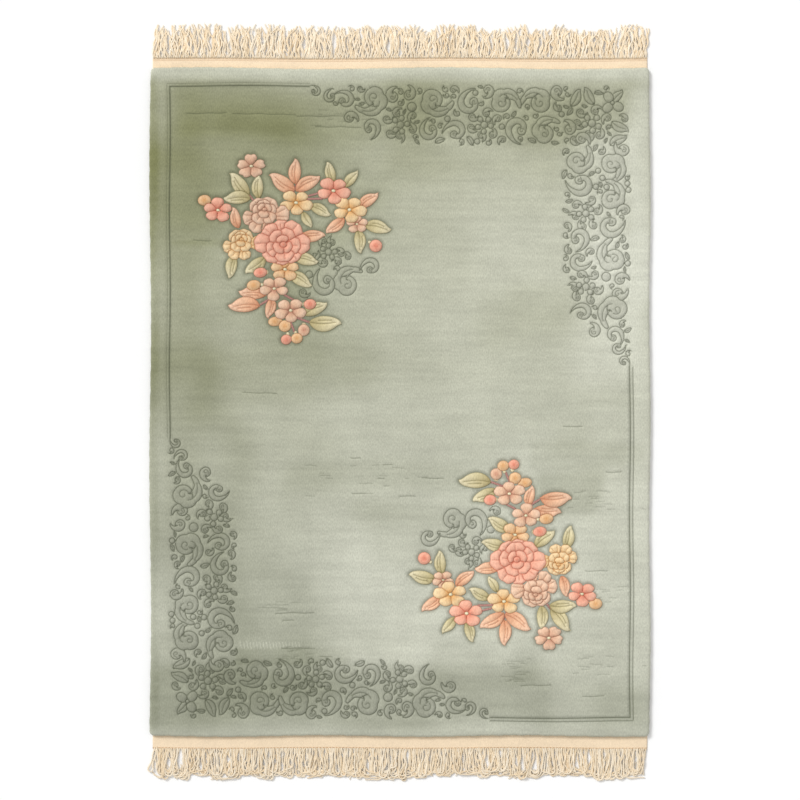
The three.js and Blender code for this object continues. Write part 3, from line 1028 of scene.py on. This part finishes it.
@dataclass
class CarvedPile:
    """The knotted body of the rug, with its motifs carved in the pile.

    The profile of its edge has a distance in from the outline and a height for each ring, from the top
    down. Points lie closer together on outlines, and within a halo of them, than over the field. The nap's
    painted sheen lightens a motif's colour from its low by its rise, scrolls are a shade of the ground, and
    the ground's painted nap shade turns dusky from a place along the rug towards its near end.
    """

    half_width: float
    half_length: float
    top: float = 14.0
    corner_radius: float = 14.0
    edge_step: float = 7.0
    outline_step: float = 3.1
    shoulder: float = 2.0
    motif_grid: float = 5.2
    field_grid: float = 10.0
    halo: float = 16.0
    margin: float = 2.5
    dusk: float = 0.45
    scroll_shade: float = 0.87
    sheen_low: float = 0.84
    sheen_rise: float = 0.24
    profile: tuple[tuple[float, float], ...] = (
        (6.5, 14.0),
        (4.0, 13.3),
        (1.9, 11.6),
        (0.5, 9.0),
        (0.0, 6.6),
        (0.9, 4.4),
        (3.2, 3.2),
        (4.0, 2.8),
        (4.0, 0.0),
    )
    motifs: list[Motif] = field(default_factory=list)
    lines: list[tuple[Rows, Relief]] = field(default_factory=list)

    def rim(self, inset: float) -> Rows:
        """The pile's outline, set in by a distance, anticlockwise."""
        edges = []
        for name, wave in EDGES.items():
            half, reach = self.half_width, self.half_length
            if name in ("right", "left"):
                half, reach = reach, half
            run = half - self.corner_radius
            along = np.linspace(-run, run, round(2 * run / self.edge_step) + 1)
            ragged = 0.7 * np.sin(along / 6.1) * np.sin(along / 17)
            edges.append(np.column_stack([reach - wave.height + wave(-along) - inset + ragged, along]))
        bend = np.radians(np.linspace(0, 90, 8)[1:-1])
        parts = []
        for i, edge in enumerate(edges):
            following = edges[(i + 1) % 4]
            size = np.array([edge[-1, 0], following[0, 0]]) - (following[-1, 1], edge[-1, 1])
            corner = np.array([edge[-1, 0], edge[-1, 1] + size[1]]) - size
            arc = corner + size * np.column_stack([np.cos(bend), np.sin(bend)])
            parts.append(turned(np.vstack([edge, arc]), 90 * i))
        return np.vstack(parts)

    def add_motifs(self, motifs: list[Motif]) -> None:
        """Add motifs over those so far, and again after a half turn."""
        self.motifs += motifs + [motif.mapped(lambda points: -points) for motif in motifs]

    def add_lines(self, lines: list[Rows], carving: Carving, repeat: bool) -> None:
        """Add carved lines, and again after a half turn where they repeat."""
        for flip in (1, -1) if repeat else (1,):
            self.lines += [(line * flip, carving.value) for line in lines]

    def grooves(self) -> list[Groove]:
        """Every carved line that shows: its points, the direction across it at each, and its relief."""
        made = []
        lows = np.array([motif.outline.min(axis=0) for motif in self.motifs])
        highs = np.array([motif.outline.max(axis=0) for motif in self.motifs])

        def add(line: Rows, closed: bool, relief: Relief, order: int) -> None:
            spaced = resampled(line, self.outline_step / 2, closed)
            low, high = spaced.min(axis=0), spaced.max(axis=0)
            over = ((highs > low) & (lows < high)).all(axis=1)
            shown = np.ones(len(spaced), bool)
            for number in np.flatnonzero(over):
                if number > order:
                    shown &= ~inside(spaced, self.motifs[number].outline)
            way = np.gradient(spaced, axis=0)
            if closed:
                way = np.roll(spaced, -1, axis=0) - np.roll(spaced, 1, axis=0)
            way /= np.maximum(np.linalg.norm(way, axis=1), 1e-9)[:, None]
            if shown.any():
                made.append((spaced[shown], np.column_stack([-way[:, 1], way[:, 0]])[shown], relief))

        for order in reversed(range(len(self.motifs))):
            motif = self.motifs[order]
            add(motif.outline, True, motif.carving.value, order)
            for line in motif.creases:
                add(line, False, motif.crease.value, order)
        for line, relief in self.lines:
            add(line, False, relief, -1)
        return made

    def owners(self, points: Rows) -> Rows:
        """The number of the topmost motif at each point, or -1 on the ground."""
        found = np.full(len(points), -1)
        for number, motif in enumerate(self.motifs):
            found[inside(points, motif.outline)] = number
        return found

    def grid(self, step: float) -> Rows:
        """Points over the whole pile, in staggered and slightly uneven rows."""
        rows = np.arange(-self.half_length, self.half_length, step * 0.866)
        columns = np.arange(-self.half_width, self.half_width, step)
        x = (columns[None, :] + np.where(np.arange(len(rows)) % 2, 0.5 * step, 0)[:, None]).ravel()
        y = np.repeat(rows, len(columns))
        return np.column_stack([x, y]) + 0.16 * step * np.sin(np.column_stack([1.7 * x + y, 2.3 * y - x]))

    def bed_points(self, grooves: list[Groove], tree: KDTree) -> Rows:
        """The plane points of the carved face: rim, grooves, their shoulders, and the field between."""
        rim_clear, outline_clear, shoulder_clear, fine_clear, coarse_clear = 0.1, 0.86, 1.7, 3.6, 6.8
        bed = PointBed()
        first_inset = self.profile[0][0]
        bed.add(self.rim(first_inset), rim_clear)
        inner = self.rim(first_inset + self.margin)
        for points, _, _ in grooves:
            bed.add(points[inside(points, inner)], outline_clear * self.outline_step)
        for points, side, _ in grooves:
            for offset in (self.shoulder, -self.shoulder):
                beside = points[::2] + offset * side[::2]
                bed.add(beside[inside(beside, inner)], shoulder_clear)
        fine = self.grid(self.motif_grid)
        fine = fine[inside(fine, inner)]
        distance = np.array([tree.find((x, y, 0))[2] for x, y in fine.tolist()])
        bed.add(fine[distance < self.halo], fine_clear)
        coarse = self.grid(self.field_grid)
        bed.add(coarse[inside(coarse, inner)], coarse_clear)
        return np.array(bed.points)

    def survey(self, grooves: list[Groove]) -> tuple[KDTree, Rows]:
        """Gather the points of every groove.

        Args:
            grooves: Every carved line.

        Returns:
            A tree of the points, and the depth, two widths and two inks of the groove at each of them.
        """
        samples = np.vstack([points for points, _, _ in grooves])
        tree = KDTree(len(samples))
        for number, (x, y) in enumerate(samples.tolist()):
            tree.insert((x, y, 0), number)
        tree.balance()
        forms = [(form.depth, form.near, form.far, form.near_seam_shade, form.far_seam_shade) for _, _, form in grooves]
        return tree, np.repeat(forms, [len(points) for points, _, _ in grooves], axis=0)

    def face(self, grooves: list[Groove], tree: KDTree) -> tuple[Rows, Rows]:
        """The plane points of the carved face, with those of its rim first, and its triangles."""
        flat = self.bed_points(grooves, tree)
        LOG.info("%d motifs, %d grooves, %d points", len(self.motifs), len(grooves), len(flat))
        cut = delaunay_2d_cdt([Vector(point) for point in flat.tolist()], [], [], 0, 1e-5)
        plane = np.array([tuple(point) for point in cut[0]])
        triangles = np.array(cut[2])
        return plane, triangles[inside(plane[triangles].mean(axis=1), self.rim(self.profile[0][0]))]

    def carve(self, plane: Rows, tree: KDTree, table: Rows) -> tuple[Rows, Rows]:
        """Shape the carved face.

        Args:
            plane: Its plane points.
            tree: The points of the grooves.
            table: The form of the groove at each of those.

        Returns:
            The height of each plane point, and how far its colour goes to that of a seam as painted shade,
            on a motif and on the ground.
        """
        found = [tree.find((x, y, 0)) for x, y in plane.tolist()]
        distance = np.array([hit[2] for hit in found])
        depth, near, far, near_seam_shade, far_seam_shade = table[[hit[1] for hit in found]].T
        owner = self.owners(plane)
        forms = [motif.carving.value for motif in self.motifs] + [Carving.LINE.value]
        crown = np.array([form.crown for form in forms])[owner]
        dome = np.array([form.dome for form in forms])[owner]
        cutting = np.clip(1 - distance / np.where(owner >= 0, near, far), 0, 1) ** 1.5
        swell = np.sqrt(1 - (1 - np.clip(distance / dome, 0, 1)) ** 2)
        height = self.top + crown * swell - depth * cutting
        return height, cutting[:, None] * np.column_stack([near_seam_shade, far_seam_shade])

    def build(self, name: str, wool: Material, back: Material) -> Object:
        """Make the carved pile.

        Args:
            name: The piece's name.
            wool: Finish of the pile.
            back: Finish of the knotted back.

        Returns:
            The closed sheet, with its dyes and its painted shade and sheen.
        """
        grooves = self.grooves()
        tree, table = self.survey(grooves)
        plane, triangles = self.face(grooves, tree)
        height, seam_shade = self.carve(plane, tree, table)
        rings = [np.column_stack([plane, height])]
        faces = triangles.tolist()
        rim_size = len(self.rim(0))
        ring = np.arange(rim_size)
        for inset, level in self.profile[1:]:
            fresh = np.arange(rim_size) + sum(len(part) for part in rings)
            rings.append(np.column_stack([self.rim(inset), np.full(rim_size, level)]))
            faces += np.column_stack([ring, fresh, np.roll(fresh, -1), np.roll(ring, -1)]).tolist()
            ring = fresh
        faces.append(ring[::-1].tolist())
        vertices = np.vstack(rings)
        piece = make_object(name, vertices, faces, wool)
        piece.data.materials.append(back)
        piece.data.polygons[len(faces) - 1].material_index = 1
        plain = np.zeros((len(vertices) - len(plane), 2))
        self.dye(piece, vertices, triangles, np.vstack([seam_shade, plain]))
        self.unfold(piece, vertices, len(triangles), rim_size)
        return piece

    def dye(self, piece: Object, vertices: Rows, triangles: Rows, seam_shade: Rows) -> None:
        """Colour every corner of the pile.

        Args:
            piece: The pile.
            vertices: Its points.
            triangles: The corners of its carved face, which come first.
            seam_shade: How far each point's colour takes a seam's painted shade, on a motif and on the
                ground.
        """
        # The ground's colour is the nap's painted sheen and shade over the sage yarn.
        tone = painted_nap_sheen(vertices[:, :2])[:, None]
        near = np.clip(self.dusk - vertices[:, 1:2] / self.half_length, 0, 1)
        shaded = Shade.SHADED.rgb * (1 - near) + Shade.DUSKY.rgb * near
        ground = shaded * (1 - tone) + Shade.BRUSHED.rgb * tone
        # Painted shade in the ground's grooves and beside the flowers, partly the darker yarn that carving
        # bares.
        carved = ground + (Shade.DEEP.rgb - ground) * seam_shade[:, 1:]
        scroll = self.scroll_shade * ground
        # Painted shade in the scrolls' seams.
        scroll += (Shade.DEEP.rgb - scroll) * seam_shade[:, :1]
        corners = np.zeros(len(piece.data.loops), int)
        piece.data.loops.foreach_get("vertex_index", corners)
        colours = carved[corners]
        owner = np.repeat(self.owners(vertices[triangles, :2].mean(axis=1)), 3)
        order = np.argsort(owner, kind="stable")
        starts = np.searchsorted(owner[order], np.arange(len(self.motifs) + 1))
        for number, motif in enumerate(self.motifs):
            chosen = order[starts[number]:starts[number + 1]]
            at = corners[chosen]
            if motif.dye is Dye.SCROLL:
                colours[chosen] = scroll[at]
                continue
            share = np.linalg.norm(vertices[at, :2] - motif.heart, axis=1) / motif.reach
            # The nap's painted sheen lightens the motif's colour too.
            nap = self.sheen_low + self.sheen_rise * tone[at]
            colours[chosen] = motif.dye.value.blend(np.clip(share, 0, 1), seam_shade[at, 0]) * nap
        paint(piece, colours, "CORNER")

    def unfold(self, piece: Object, vertices: Rows, carved: int, rim: int) -> None:
        """Lay the carved face, the edge and the back side by side in one map.

        Args:
            piece: The pile.
            vertices: Its points.
            carved: How many triangles its carved face has.
            rim: How many points its rim has.
        """
        corners = np.zeros(len(piece.data.loops), int)
        piece.data.loops.foreach_get("vertex_index", corners)
        middle = np.array([self.half_width, self.half_length])
        spot = (vertices[corners, :2] + middle) / (2 * self.half_length)
        left, edge_low, edge_width, edge_height, back_low, back_scale = 0.77, 0.34, 0.22, 0.65, 0.01, 0.3
        face, back = 3 * carved, len(corners) - rim
        edge = np.arange(face, back) - face
        column = edge // 4 % rim + np.isin(edge % 4, (2, 3))
        ring = edge // (4 * rim) + np.isin(edge % 4, (1, 2))
        ring = ring / (len(self.profile) - 1)
        spot[face:back] = np.column_stack([left + edge_width * ring, edge_low + edge_height * column / rim])
        spot[back:] = spot[back:] * back_scale + np.array([left, back_low])
        layer = piece.data.uv_layers.new(name="OFBake")
        layer.data.foreach_set("uv", spot.ravel())


# Finishes

class Finish:
    """A fabric under construction, with short calls for its nodes."""

    def __init__(self, name: str, sheen: float) -> None:
        """Start a rough fabric whose fibres catch a share of the light."""
        self.material = bpy.data.materials.new(name)
        self.material.use_nodes = True
        self.nodes = self.material.node_tree.nodes
        self.links = self.material.node_tree.links
        self.shader = self.nodes["Principled BSDF"]
        for slot, value in (("Roughness", 0.95), ("Specular IOR Level", 0.12), ("Sheen Weight", sheen)):
            self.shader.inputs[slot].default_value = value
        self.place = self.nodes.new("ShaderNodeTexCoord").outputs["Object"]

    def noise(self, scale: tuple[float, float, float], detail: float, seed: float) -> Socket:
        """A noise over the piece, with its own scale along each axis, in waves for each metre."""
        mapping = self.nodes.new("ShaderNodeMapping")
        mapping.inputs["Scale"].default_value = scale
        mapping.inputs["Location"].default_value = (seed, 1.7 * seed, 0.3 * seed)
        self.links.new(self.place, mapping.inputs["Vector"])
        texture = self.nodes.new("ShaderNodeTexNoise")
        texture.inputs["Scale"].default_value = 1.0
        texture.inputs["Detail"].default_value = detail
        self.links.new(mapping.outputs["Vector"], texture.inputs["Vector"])
        return texture.outputs["Fac"]

    def spread(self, value: Socket, amount: float) -> Socket:
        """A noise mapped to a factor about one."""
        node = self.nodes.new("ShaderNodeMapRange")
        limits = {"From Min": 0.3, "From Max": 0.7, "To Min": 1 - amount, "To Max": 1 + amount}
        for slot, number in limits.items():
            node.inputs[slot].default_value = number
        self.links.new(value, node.inputs["Value"])
        return node.outputs["Result"]

    def dyed_and_shaded(self, *factors: Socket) -> None:
        """Set the base colour to the stored dyes with their painted shade and sheen, times each factor."""
        colour = self.nodes.new("ShaderNodeVertexColor")
        colour.layer_name = "dye"
        last = colour.outputs["Color"]
        for factor in factors:
            node = self.nodes.new("ShaderNodeVectorMath")
            node.operation = "SCALE"
            self.links.new(last, node.inputs[0])
            self.links.new(factor, node.inputs["Scale"])
            last = node.outputs["Vector"]
        self.links.new(last, self.shader.inputs["Base Color"])

    def bumped(self, value: Socket, strength: float, distance: float) -> None:
        """Raise the surface by a value, as bump."""
        node = self.nodes.new("ShaderNodeBump")
        node.inputs["Strength"].default_value = strength
        node.inputs["Distance"].default_value = distance
        self.links.new(value, node.inputs["Height"])
        self.links.new(node.outputs["Normal"], self.shader.inputs["Normal"])


def wool_finish() -> Material:
    """Cut wool pile: the stored dyes and painted shade, with fine tufts, soft clouds and long brushed
    streaks.
    """
    wool = Finish("wool_pile", 0.2)
    tufts = wool.spread(wool.noise((420, 170, 90), 2.0, 3.0), 0.12)
    streaks = wool.spread(wool.noise((6, 80, 10), 4.0, 11.0), 0.055)
    clouds = wool.spread(wool.noise((16, 22, 4), 4.0, 5.0), 0.05)
    wool.dyed_and_shaded(tufts, streaks, clouds)
    wool.bumped(wool.noise((420, 420, 120), 3.0, 8.0), 0.4, 0.0014)
    return wool.material


def cotton_finish(name: str, weave: tuple[float, float, float]) -> Material:
    """Undyed cotton with a grain of so many waves for each metre along each axis."""
    cotton = Finish(name, 0.12)
    grain = cotton.spread(cotton.noise(weave, 2.0, 4.0), 0.07)
    clouds = cotton.spread(cotton.noise((14, 26, 10), 3.0, 9.0), 0.04)
    cotton.dyed_and_shaded(grain, clouds)
    cotton.bumped(cotton.noise(weave, 3.0, 2.0), 0.3, 0.0007)
    return cotton.material


# Ends of the rug

def tube(path: Rows, half: Rows, twist: Rows, sides: int) -> Rows:
    """Points of a two-ply yarn along a path.

    Args:
        path: Points along its middle.
        half: Half its thickness at each point.
        twist: Turn of its plies at each point, in radians.
        sides: How many points each section has.

    Returns:
        The points, section by section.
    """
    angle = np.linspace(0, FULL_TURN, sides, endpoint=False)
    way = np.gradient(path, axis=0)
    way /= np.linalg.norm(way, axis=1)[:, None]
    side = np.cross(way, np.array([0, 0, 1.0]))
    side /= np.linalg.norm(side, axis=1)[:, None]
    up = np.cross(side, way)
    lobe = half[:, None] * (0.84 + 0.22 * np.cos(2 * (angle - twist[:, None])))
    across, above = (lobe * np.cos(angle))[:, :, None], (lobe * np.sin(angle))[:, :, None]
    return (path[:, None, :] + side[:, None, :] * across + up[:, None, :] * above).reshape(-1, 3)


def tube_faces(steps: int, sides: int, start: int) -> list[tuple[int, ...]]:
    """Faces of a closed tube whose sections follow each other."""
    faces = []
    for i in range(steps - 1):
        a, b = start + i * sides, start + (i + 1) * sides
        faces += [(a + j, a + (j + 1) % sides, b + (j + 1) % sides, b + j) for j in range(sides)]
    faces.append(tuple(start + j for j in reversed(range(sides))))
    faces.append(tuple(start + (steps - 1) * sides + j for j in range(sides)))
    return faces


@dataclass(frozen=True)
class FringeStyle:
    """How the yarns of a fringe lie.

    Web is the depth of the web they hang from, and reach how far the longest go beyond it. Gap is the
    spacing of their roots. Tangle is how far they sway near the web, curl how far their tips turn, and
    clump how strongly they lean together. The shade factor scales the cotton's colour as painted shade,
    darker at the near end.
    """

    web: float
    reach: float
    gap: float
    tangle: float
    curl: float
    clump: float
    bright: float


class EndKind(Enum):
    """The ends of the rug: at the far one the fringe lies in a mat, at the near one its tips curl up."""

    FAR = FringeStyle(web=24, reach=76, gap=2.4, tangle=0.46, curl=0.5, clump=0.45, bright=1.0)
    # The near end's web and fringe are painted a tenth darker, as shade.
    NEAR = FringeStyle(web=30, reach=70, gap=2.5, tangle=0.2, curl=2.6, clump=0.6, bright=0.9)


@dataclass
class RugEnd:
    """The web and the fringe of one end, made for the far end and turned for the near one."""

    kind: EndKind
    half_length: float
    web_width: float = 1204
    web_top: float = 2.2
    web_waver: float = 0.5
    tuck: float = 3.6
    overlap: float = 2.2
    end_zone: float = 26
    strand_half: float = 2.3
    strand_steps: int = 22
    sides: int = 6

    @property
    def name(self) -> str:
        """The name of this end."""
        return self.kind.name.lower()

    def turned(self, points: Rows) -> Rows:
        """Points of this end, turned to where it lies."""
        flip = 1.0 if self.kind is EndKind.FAR else -1.0
        return points * np.array([flip, flip, 1.0])

    def web_edge(self, x: float | Rows) -> float | Rows:
        """How far the web reaches at each x."""
        return self.half_length + self.kind.value.web + self.web_waver * EDGES[self.name](x)

    def build_web(self, material: Material) -> Object:
        """Make the woven web, with fine ribs along it and stitching near its outer edge."""
        columns, ribs = 302, 34
        x = np.linspace(-self.web_width / 2, self.web_width / 2, columns)
        wave = EDGES[self.name]
        inner = self.half_length - wave.height + wave(x) - self.tuck
        outer = self.web_edge(x)
        share = np.linspace(0, 1, ribs)
        level = self.web_top - 0.35 + 0.22 * np.cos(share * math.pi * (ribs - 1))
        far = self.kind is EndKind.FAR
        lines = (ribs - 11, ribs - 10, ribs - 7, ribs - 6) if far else (ribs - 4, ribs - 3, ribs - 2)
        stitched = np.isin(np.arange(ribs), lines)
        level[stitched] -= 0.5
        section = np.vstack([(0.0, 0.0), np.column_stack([share, level]), (1.0, 0.0)])
        crinkle = 0.25 * np.sin(x / 31) * np.sin(x / 13 + 1.0)
        rows = [
            np.column_stack([x, inner + (outer - inner) * part, np.full(columns, z) + crinkle * (z > 0)])
            for part, z in section
        ]
        count = len(section)
        faces = []
        for i in range(count):
            a, b = i * columns, (i + 1) % count * columns
            faces += [(a + k, a + k + 1, b + k + 1, b + k) for k in range(columns - 1)]
        faces.append(tuple(i * columns for i in range(count)))
        faces.append(tuple(i * columns + columns - 1 for i in reversed(range(count))))
        dark = np.concatenate([[False], stitched, [False]])
        ticks = np.full(columns, 0.36) if far else 0.9 * (np.arange(columns) % 2)
        mix = (dark[:, None] * ticks).reshape(-1, 1)
        # The whole web is scaled by the end's painted shade.
        colours = (Shade.WEB.rgb + (Shade.STITCH.rgb - Shade.WEB.rgb) * mix) * self.kind.value.bright
        piece = make_object(f"web_{self.name}_weave", self.turned(np.vstack(rows)), faces, material)
        paint(piece, colours, "POINT")
        return piece

    def strand(self, root: float, clump: float, random: np.random.Generator) -> Rows:
        """The path of one yarn.

        Args:
            root: Its place along the web.
            clump: Where the tips of its clump gather.
            random: The fringe's own random numbers.

        Returns:
            Points along its middle.
        """
        style = self.kind.value
        share = np.linspace(0, 1, self.strand_steps)
        reach = style.reach * (random.uniform(0.8, 1.0) + 0.08 * math.sin(clump)) + 3
        lean = math.atan2(style.clump * (clump - root) + random.normal(0, 7), reach)
        sway = np.sin(FULL_TURN * 1.4 * share + random.uniform(0, 6))
        heading = lean + style.tangle * sway * (1 - 0.7 * share)
        heading += random.normal(0, 0.16) * np.sin(FULL_TURN * 2.6 * share + random.uniform(0, 6))
        bend = np.clip((share - random.uniform(0.4, 0.85)) / 0.2, 0, 1)
        near_end = abs(root) > self.web_width / 2 - self.end_zone
        side = -math.copysign(1, root) if near_end else random.choice((-1, 1))
        heading += side * style.curl * random.uniform(0.1, 1.3) * bend
        step = np.column_stack([np.sin(heading), np.cos(heading)])
        plane = np.cumsum(step, axis=0) - step[0]
        plane *= reach / plane[:, 1].max()
        hump = random.uniform(0.2, 4.0) * np.sin(math.pi * np.clip(share * 1.05, 0, 1)) ** 1.2
        start = np.array([root, self.web_edge(root) - self.overlap])
        return np.column_stack([start + plane, self.strand_half + 0.2 + hump])

    def build_fringe(self, material: Material) -> Object:
        """Make the fringe of plied yarns that lean, wave, gather in clumps and cross."""
        random = np.random.default_rng(SEED + len(self.name))
        half_web = self.web_width / 2
        roots = np.arange(-half_web + 3, half_web - 2, self.kind.value.gap)
        clumps = np.cumsum(random.uniform(15, 34, 80)) - half_web - 10
        share = np.linspace(0, 1, self.strand_steps)
        vertices, faces, colours = [], [], []
        for number, place in enumerate(roots):
            root = place - 0.55 * self.kind.value.gap * (number % 2)
            path = self.strand(root, clumps[np.abs(clumps - root).argmin()], random)
            half = self.strand_half * (1 - 0.45 * share ** 5) * random.uniform(0.82, 1.12)
            twist = FULL_TURN * 9 * share + random.uniform(0, 6)
            start = len(vertices) * self.strand_steps * self.sides
            faces += tube_faces(self.strand_steps, self.sides, start)
            vertices.append(tube(path, half, twist, self.sides))
            tone = random.uniform(0.1, 1)
            # The end's painted shade scales each yarn.
            shade = (Shade.YARN_DARK.rgb * (1 - tone) + Shade.YARN.rgb * tone) * self.kind.value.bright
            # Each yarn is a little darker over its first quarter, near the web.
            root_darkening = np.repeat(0.92 + 0.08 * np.clip(share * 4, 0, 1), self.sides)
            colours.append(shade * root_darkening[:, None])
        piece = make_object(f"fringe_{self.name}_yarns", self.turned(np.vstack(vertices)), faces, material)
        paint(piece, np.vstack(colours), "POINT")
        return piece


# Studio

@dataclass(frozen=True)
class Studio:
    """A pale floor, soft light and a camera straight above. Sizes are in metres."""

    floor_size: float = 12.0
    floor_drop: float = 0.0002
    floor_tone: float = 0.98
    sky: float = 0.66
    sun: float = 1.75
    sun_width: float = 20.0
    sun_way: tuple[float, float, float] = (0.62, -0.62, -0.8)
    view_width: float = 1.948
    camera_height: float = 12.0
    camera_y: float = 0.0049
    sensor: float = 36.0
    clip_end: float = 100.0

    def build_floor(self) -> None:
        """Make the floor."""
        bpy.ops.mesh.primitive_plane_add(size=self.floor_size, location=(0, 0, -self.floor_drop))
        floor = bpy.context.object
        floor.name = "floor"
        bpy.ops.object.transform_apply(location=True, rotation=True, scale=True)
        pale = bpy.data.materials.new("floor_pale")
        pale.use_nodes = True
        shader = pale.node_tree.nodes["Principled BSDF"]
        shader.inputs["Base Color"].default_value = (*[self.floor_tone] * 3, 1)
        shader.inputs["Roughness"].default_value = 0.9
        floor.data.materials.append(pale)

    def build_light(self) -> None:
        """Make a white sky and a wide sun."""
        scene = bpy.context.scene
        world = bpy.data.worlds.new("studio")
        world.use_nodes = True
        backdrop = world.node_tree.nodes["Background"]
        backdrop.inputs["Color"].default_value = (1, 1, 1, 1)
        backdrop.inputs["Strength"].default_value = self.sky
        scene.world = world
        lamp = bpy.data.lights.new("window", "SUN")
        lamp.energy = self.sun
        lamp.angle = math.radians(self.sun_width)
        light = bpy.data.objects.new("window", lamp)
        light.rotation_euler = Vector(self.sun_way).to_track_quat("-Z", "Y").to_euler()
        scene.collection.objects.link(light)

    def build_camera(self) -> None:
        """Make the camera, which looks straight down."""
        scene = bpy.context.scene
        data = bpy.data.cameras.new("above")
        data.sensor_width = self.sensor
        data.lens = self.sensor * self.camera_height / self.view_width
        data.clip_end = self.clip_end
        camera = bpy.data.objects.new("above", data)
        camera.location = (0, self.camera_y, self.camera_height)
        scene.collection.objects.link(camera)
        scene.camera = camera
        scene.view_settings.view_transform = "Standard"

    def build(self) -> None:
        """Make the floor, the light and the camera."""
        self.build_floor()
        self.build_light()
        self.build_camera()


def fit(piece: Object, node: str) -> Object:
    """Let a piece ride on the body in place of a solid, which is hidden."""
    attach(piece, BODY)
    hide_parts(node)
    return piece


def main() -> None:
    """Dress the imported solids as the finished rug."""
    logging.basicConfig(level=logging.INFO, format="%(name)s %(message)s")
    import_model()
    bpy.ops.object.select_all(action="DESELECT")
    low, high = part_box("carved_pile")
    half_width = (high[0] - low[0]) / 2 / MM
    half_length = (high[1] - low[1]) / 2 / MM

    pile = CarvedPile(half_width, half_length)
    pile.add_motifs(CornerScrolls().motifs())
    pile.add_motifs(Spray().motifs())
    pile.add_lines(border_lines(INNER_LINE), Carving.LINE, repeat=True)
    pile.add_lines(border_lines(FAINT_LINE), Carving.FAINT, repeat=False)
    pile.add_lines([-line for line in border_lines(TWIN_LINE)], Carving.TWIN, repeat=False)
    pile.add_lines([split(*row) for row in SPLITS], Carving.SPLIT, repeat=False)
    pile.add_lines(flecks(), Carving.FLECK, repeat=False)
    pile.add_lines(comb_marks(), Carving.COMB, repeat=False)
    carved = pile.build("carved_wool_pile", wool_finish(), cotton_finish("knotted_back", (300, 300, 80)))
    fit(carved, "carved_pile")

    web_finish = cotton_finish("cotton_web", (520, 260, 200))
    yarn_finish = cotton_finish("cotton_yarn", (420, 420, 420))
    for kind in EndKind:
        end = RugEnd(kind, half_length)
        fit(end.build_web(web_finish), f"web_{end.name}")
        fit(end.build_fringe(yarn_finish), f"fringe_{end.name}")
    Studio().build()


if __name__ == "__main__":
    main()
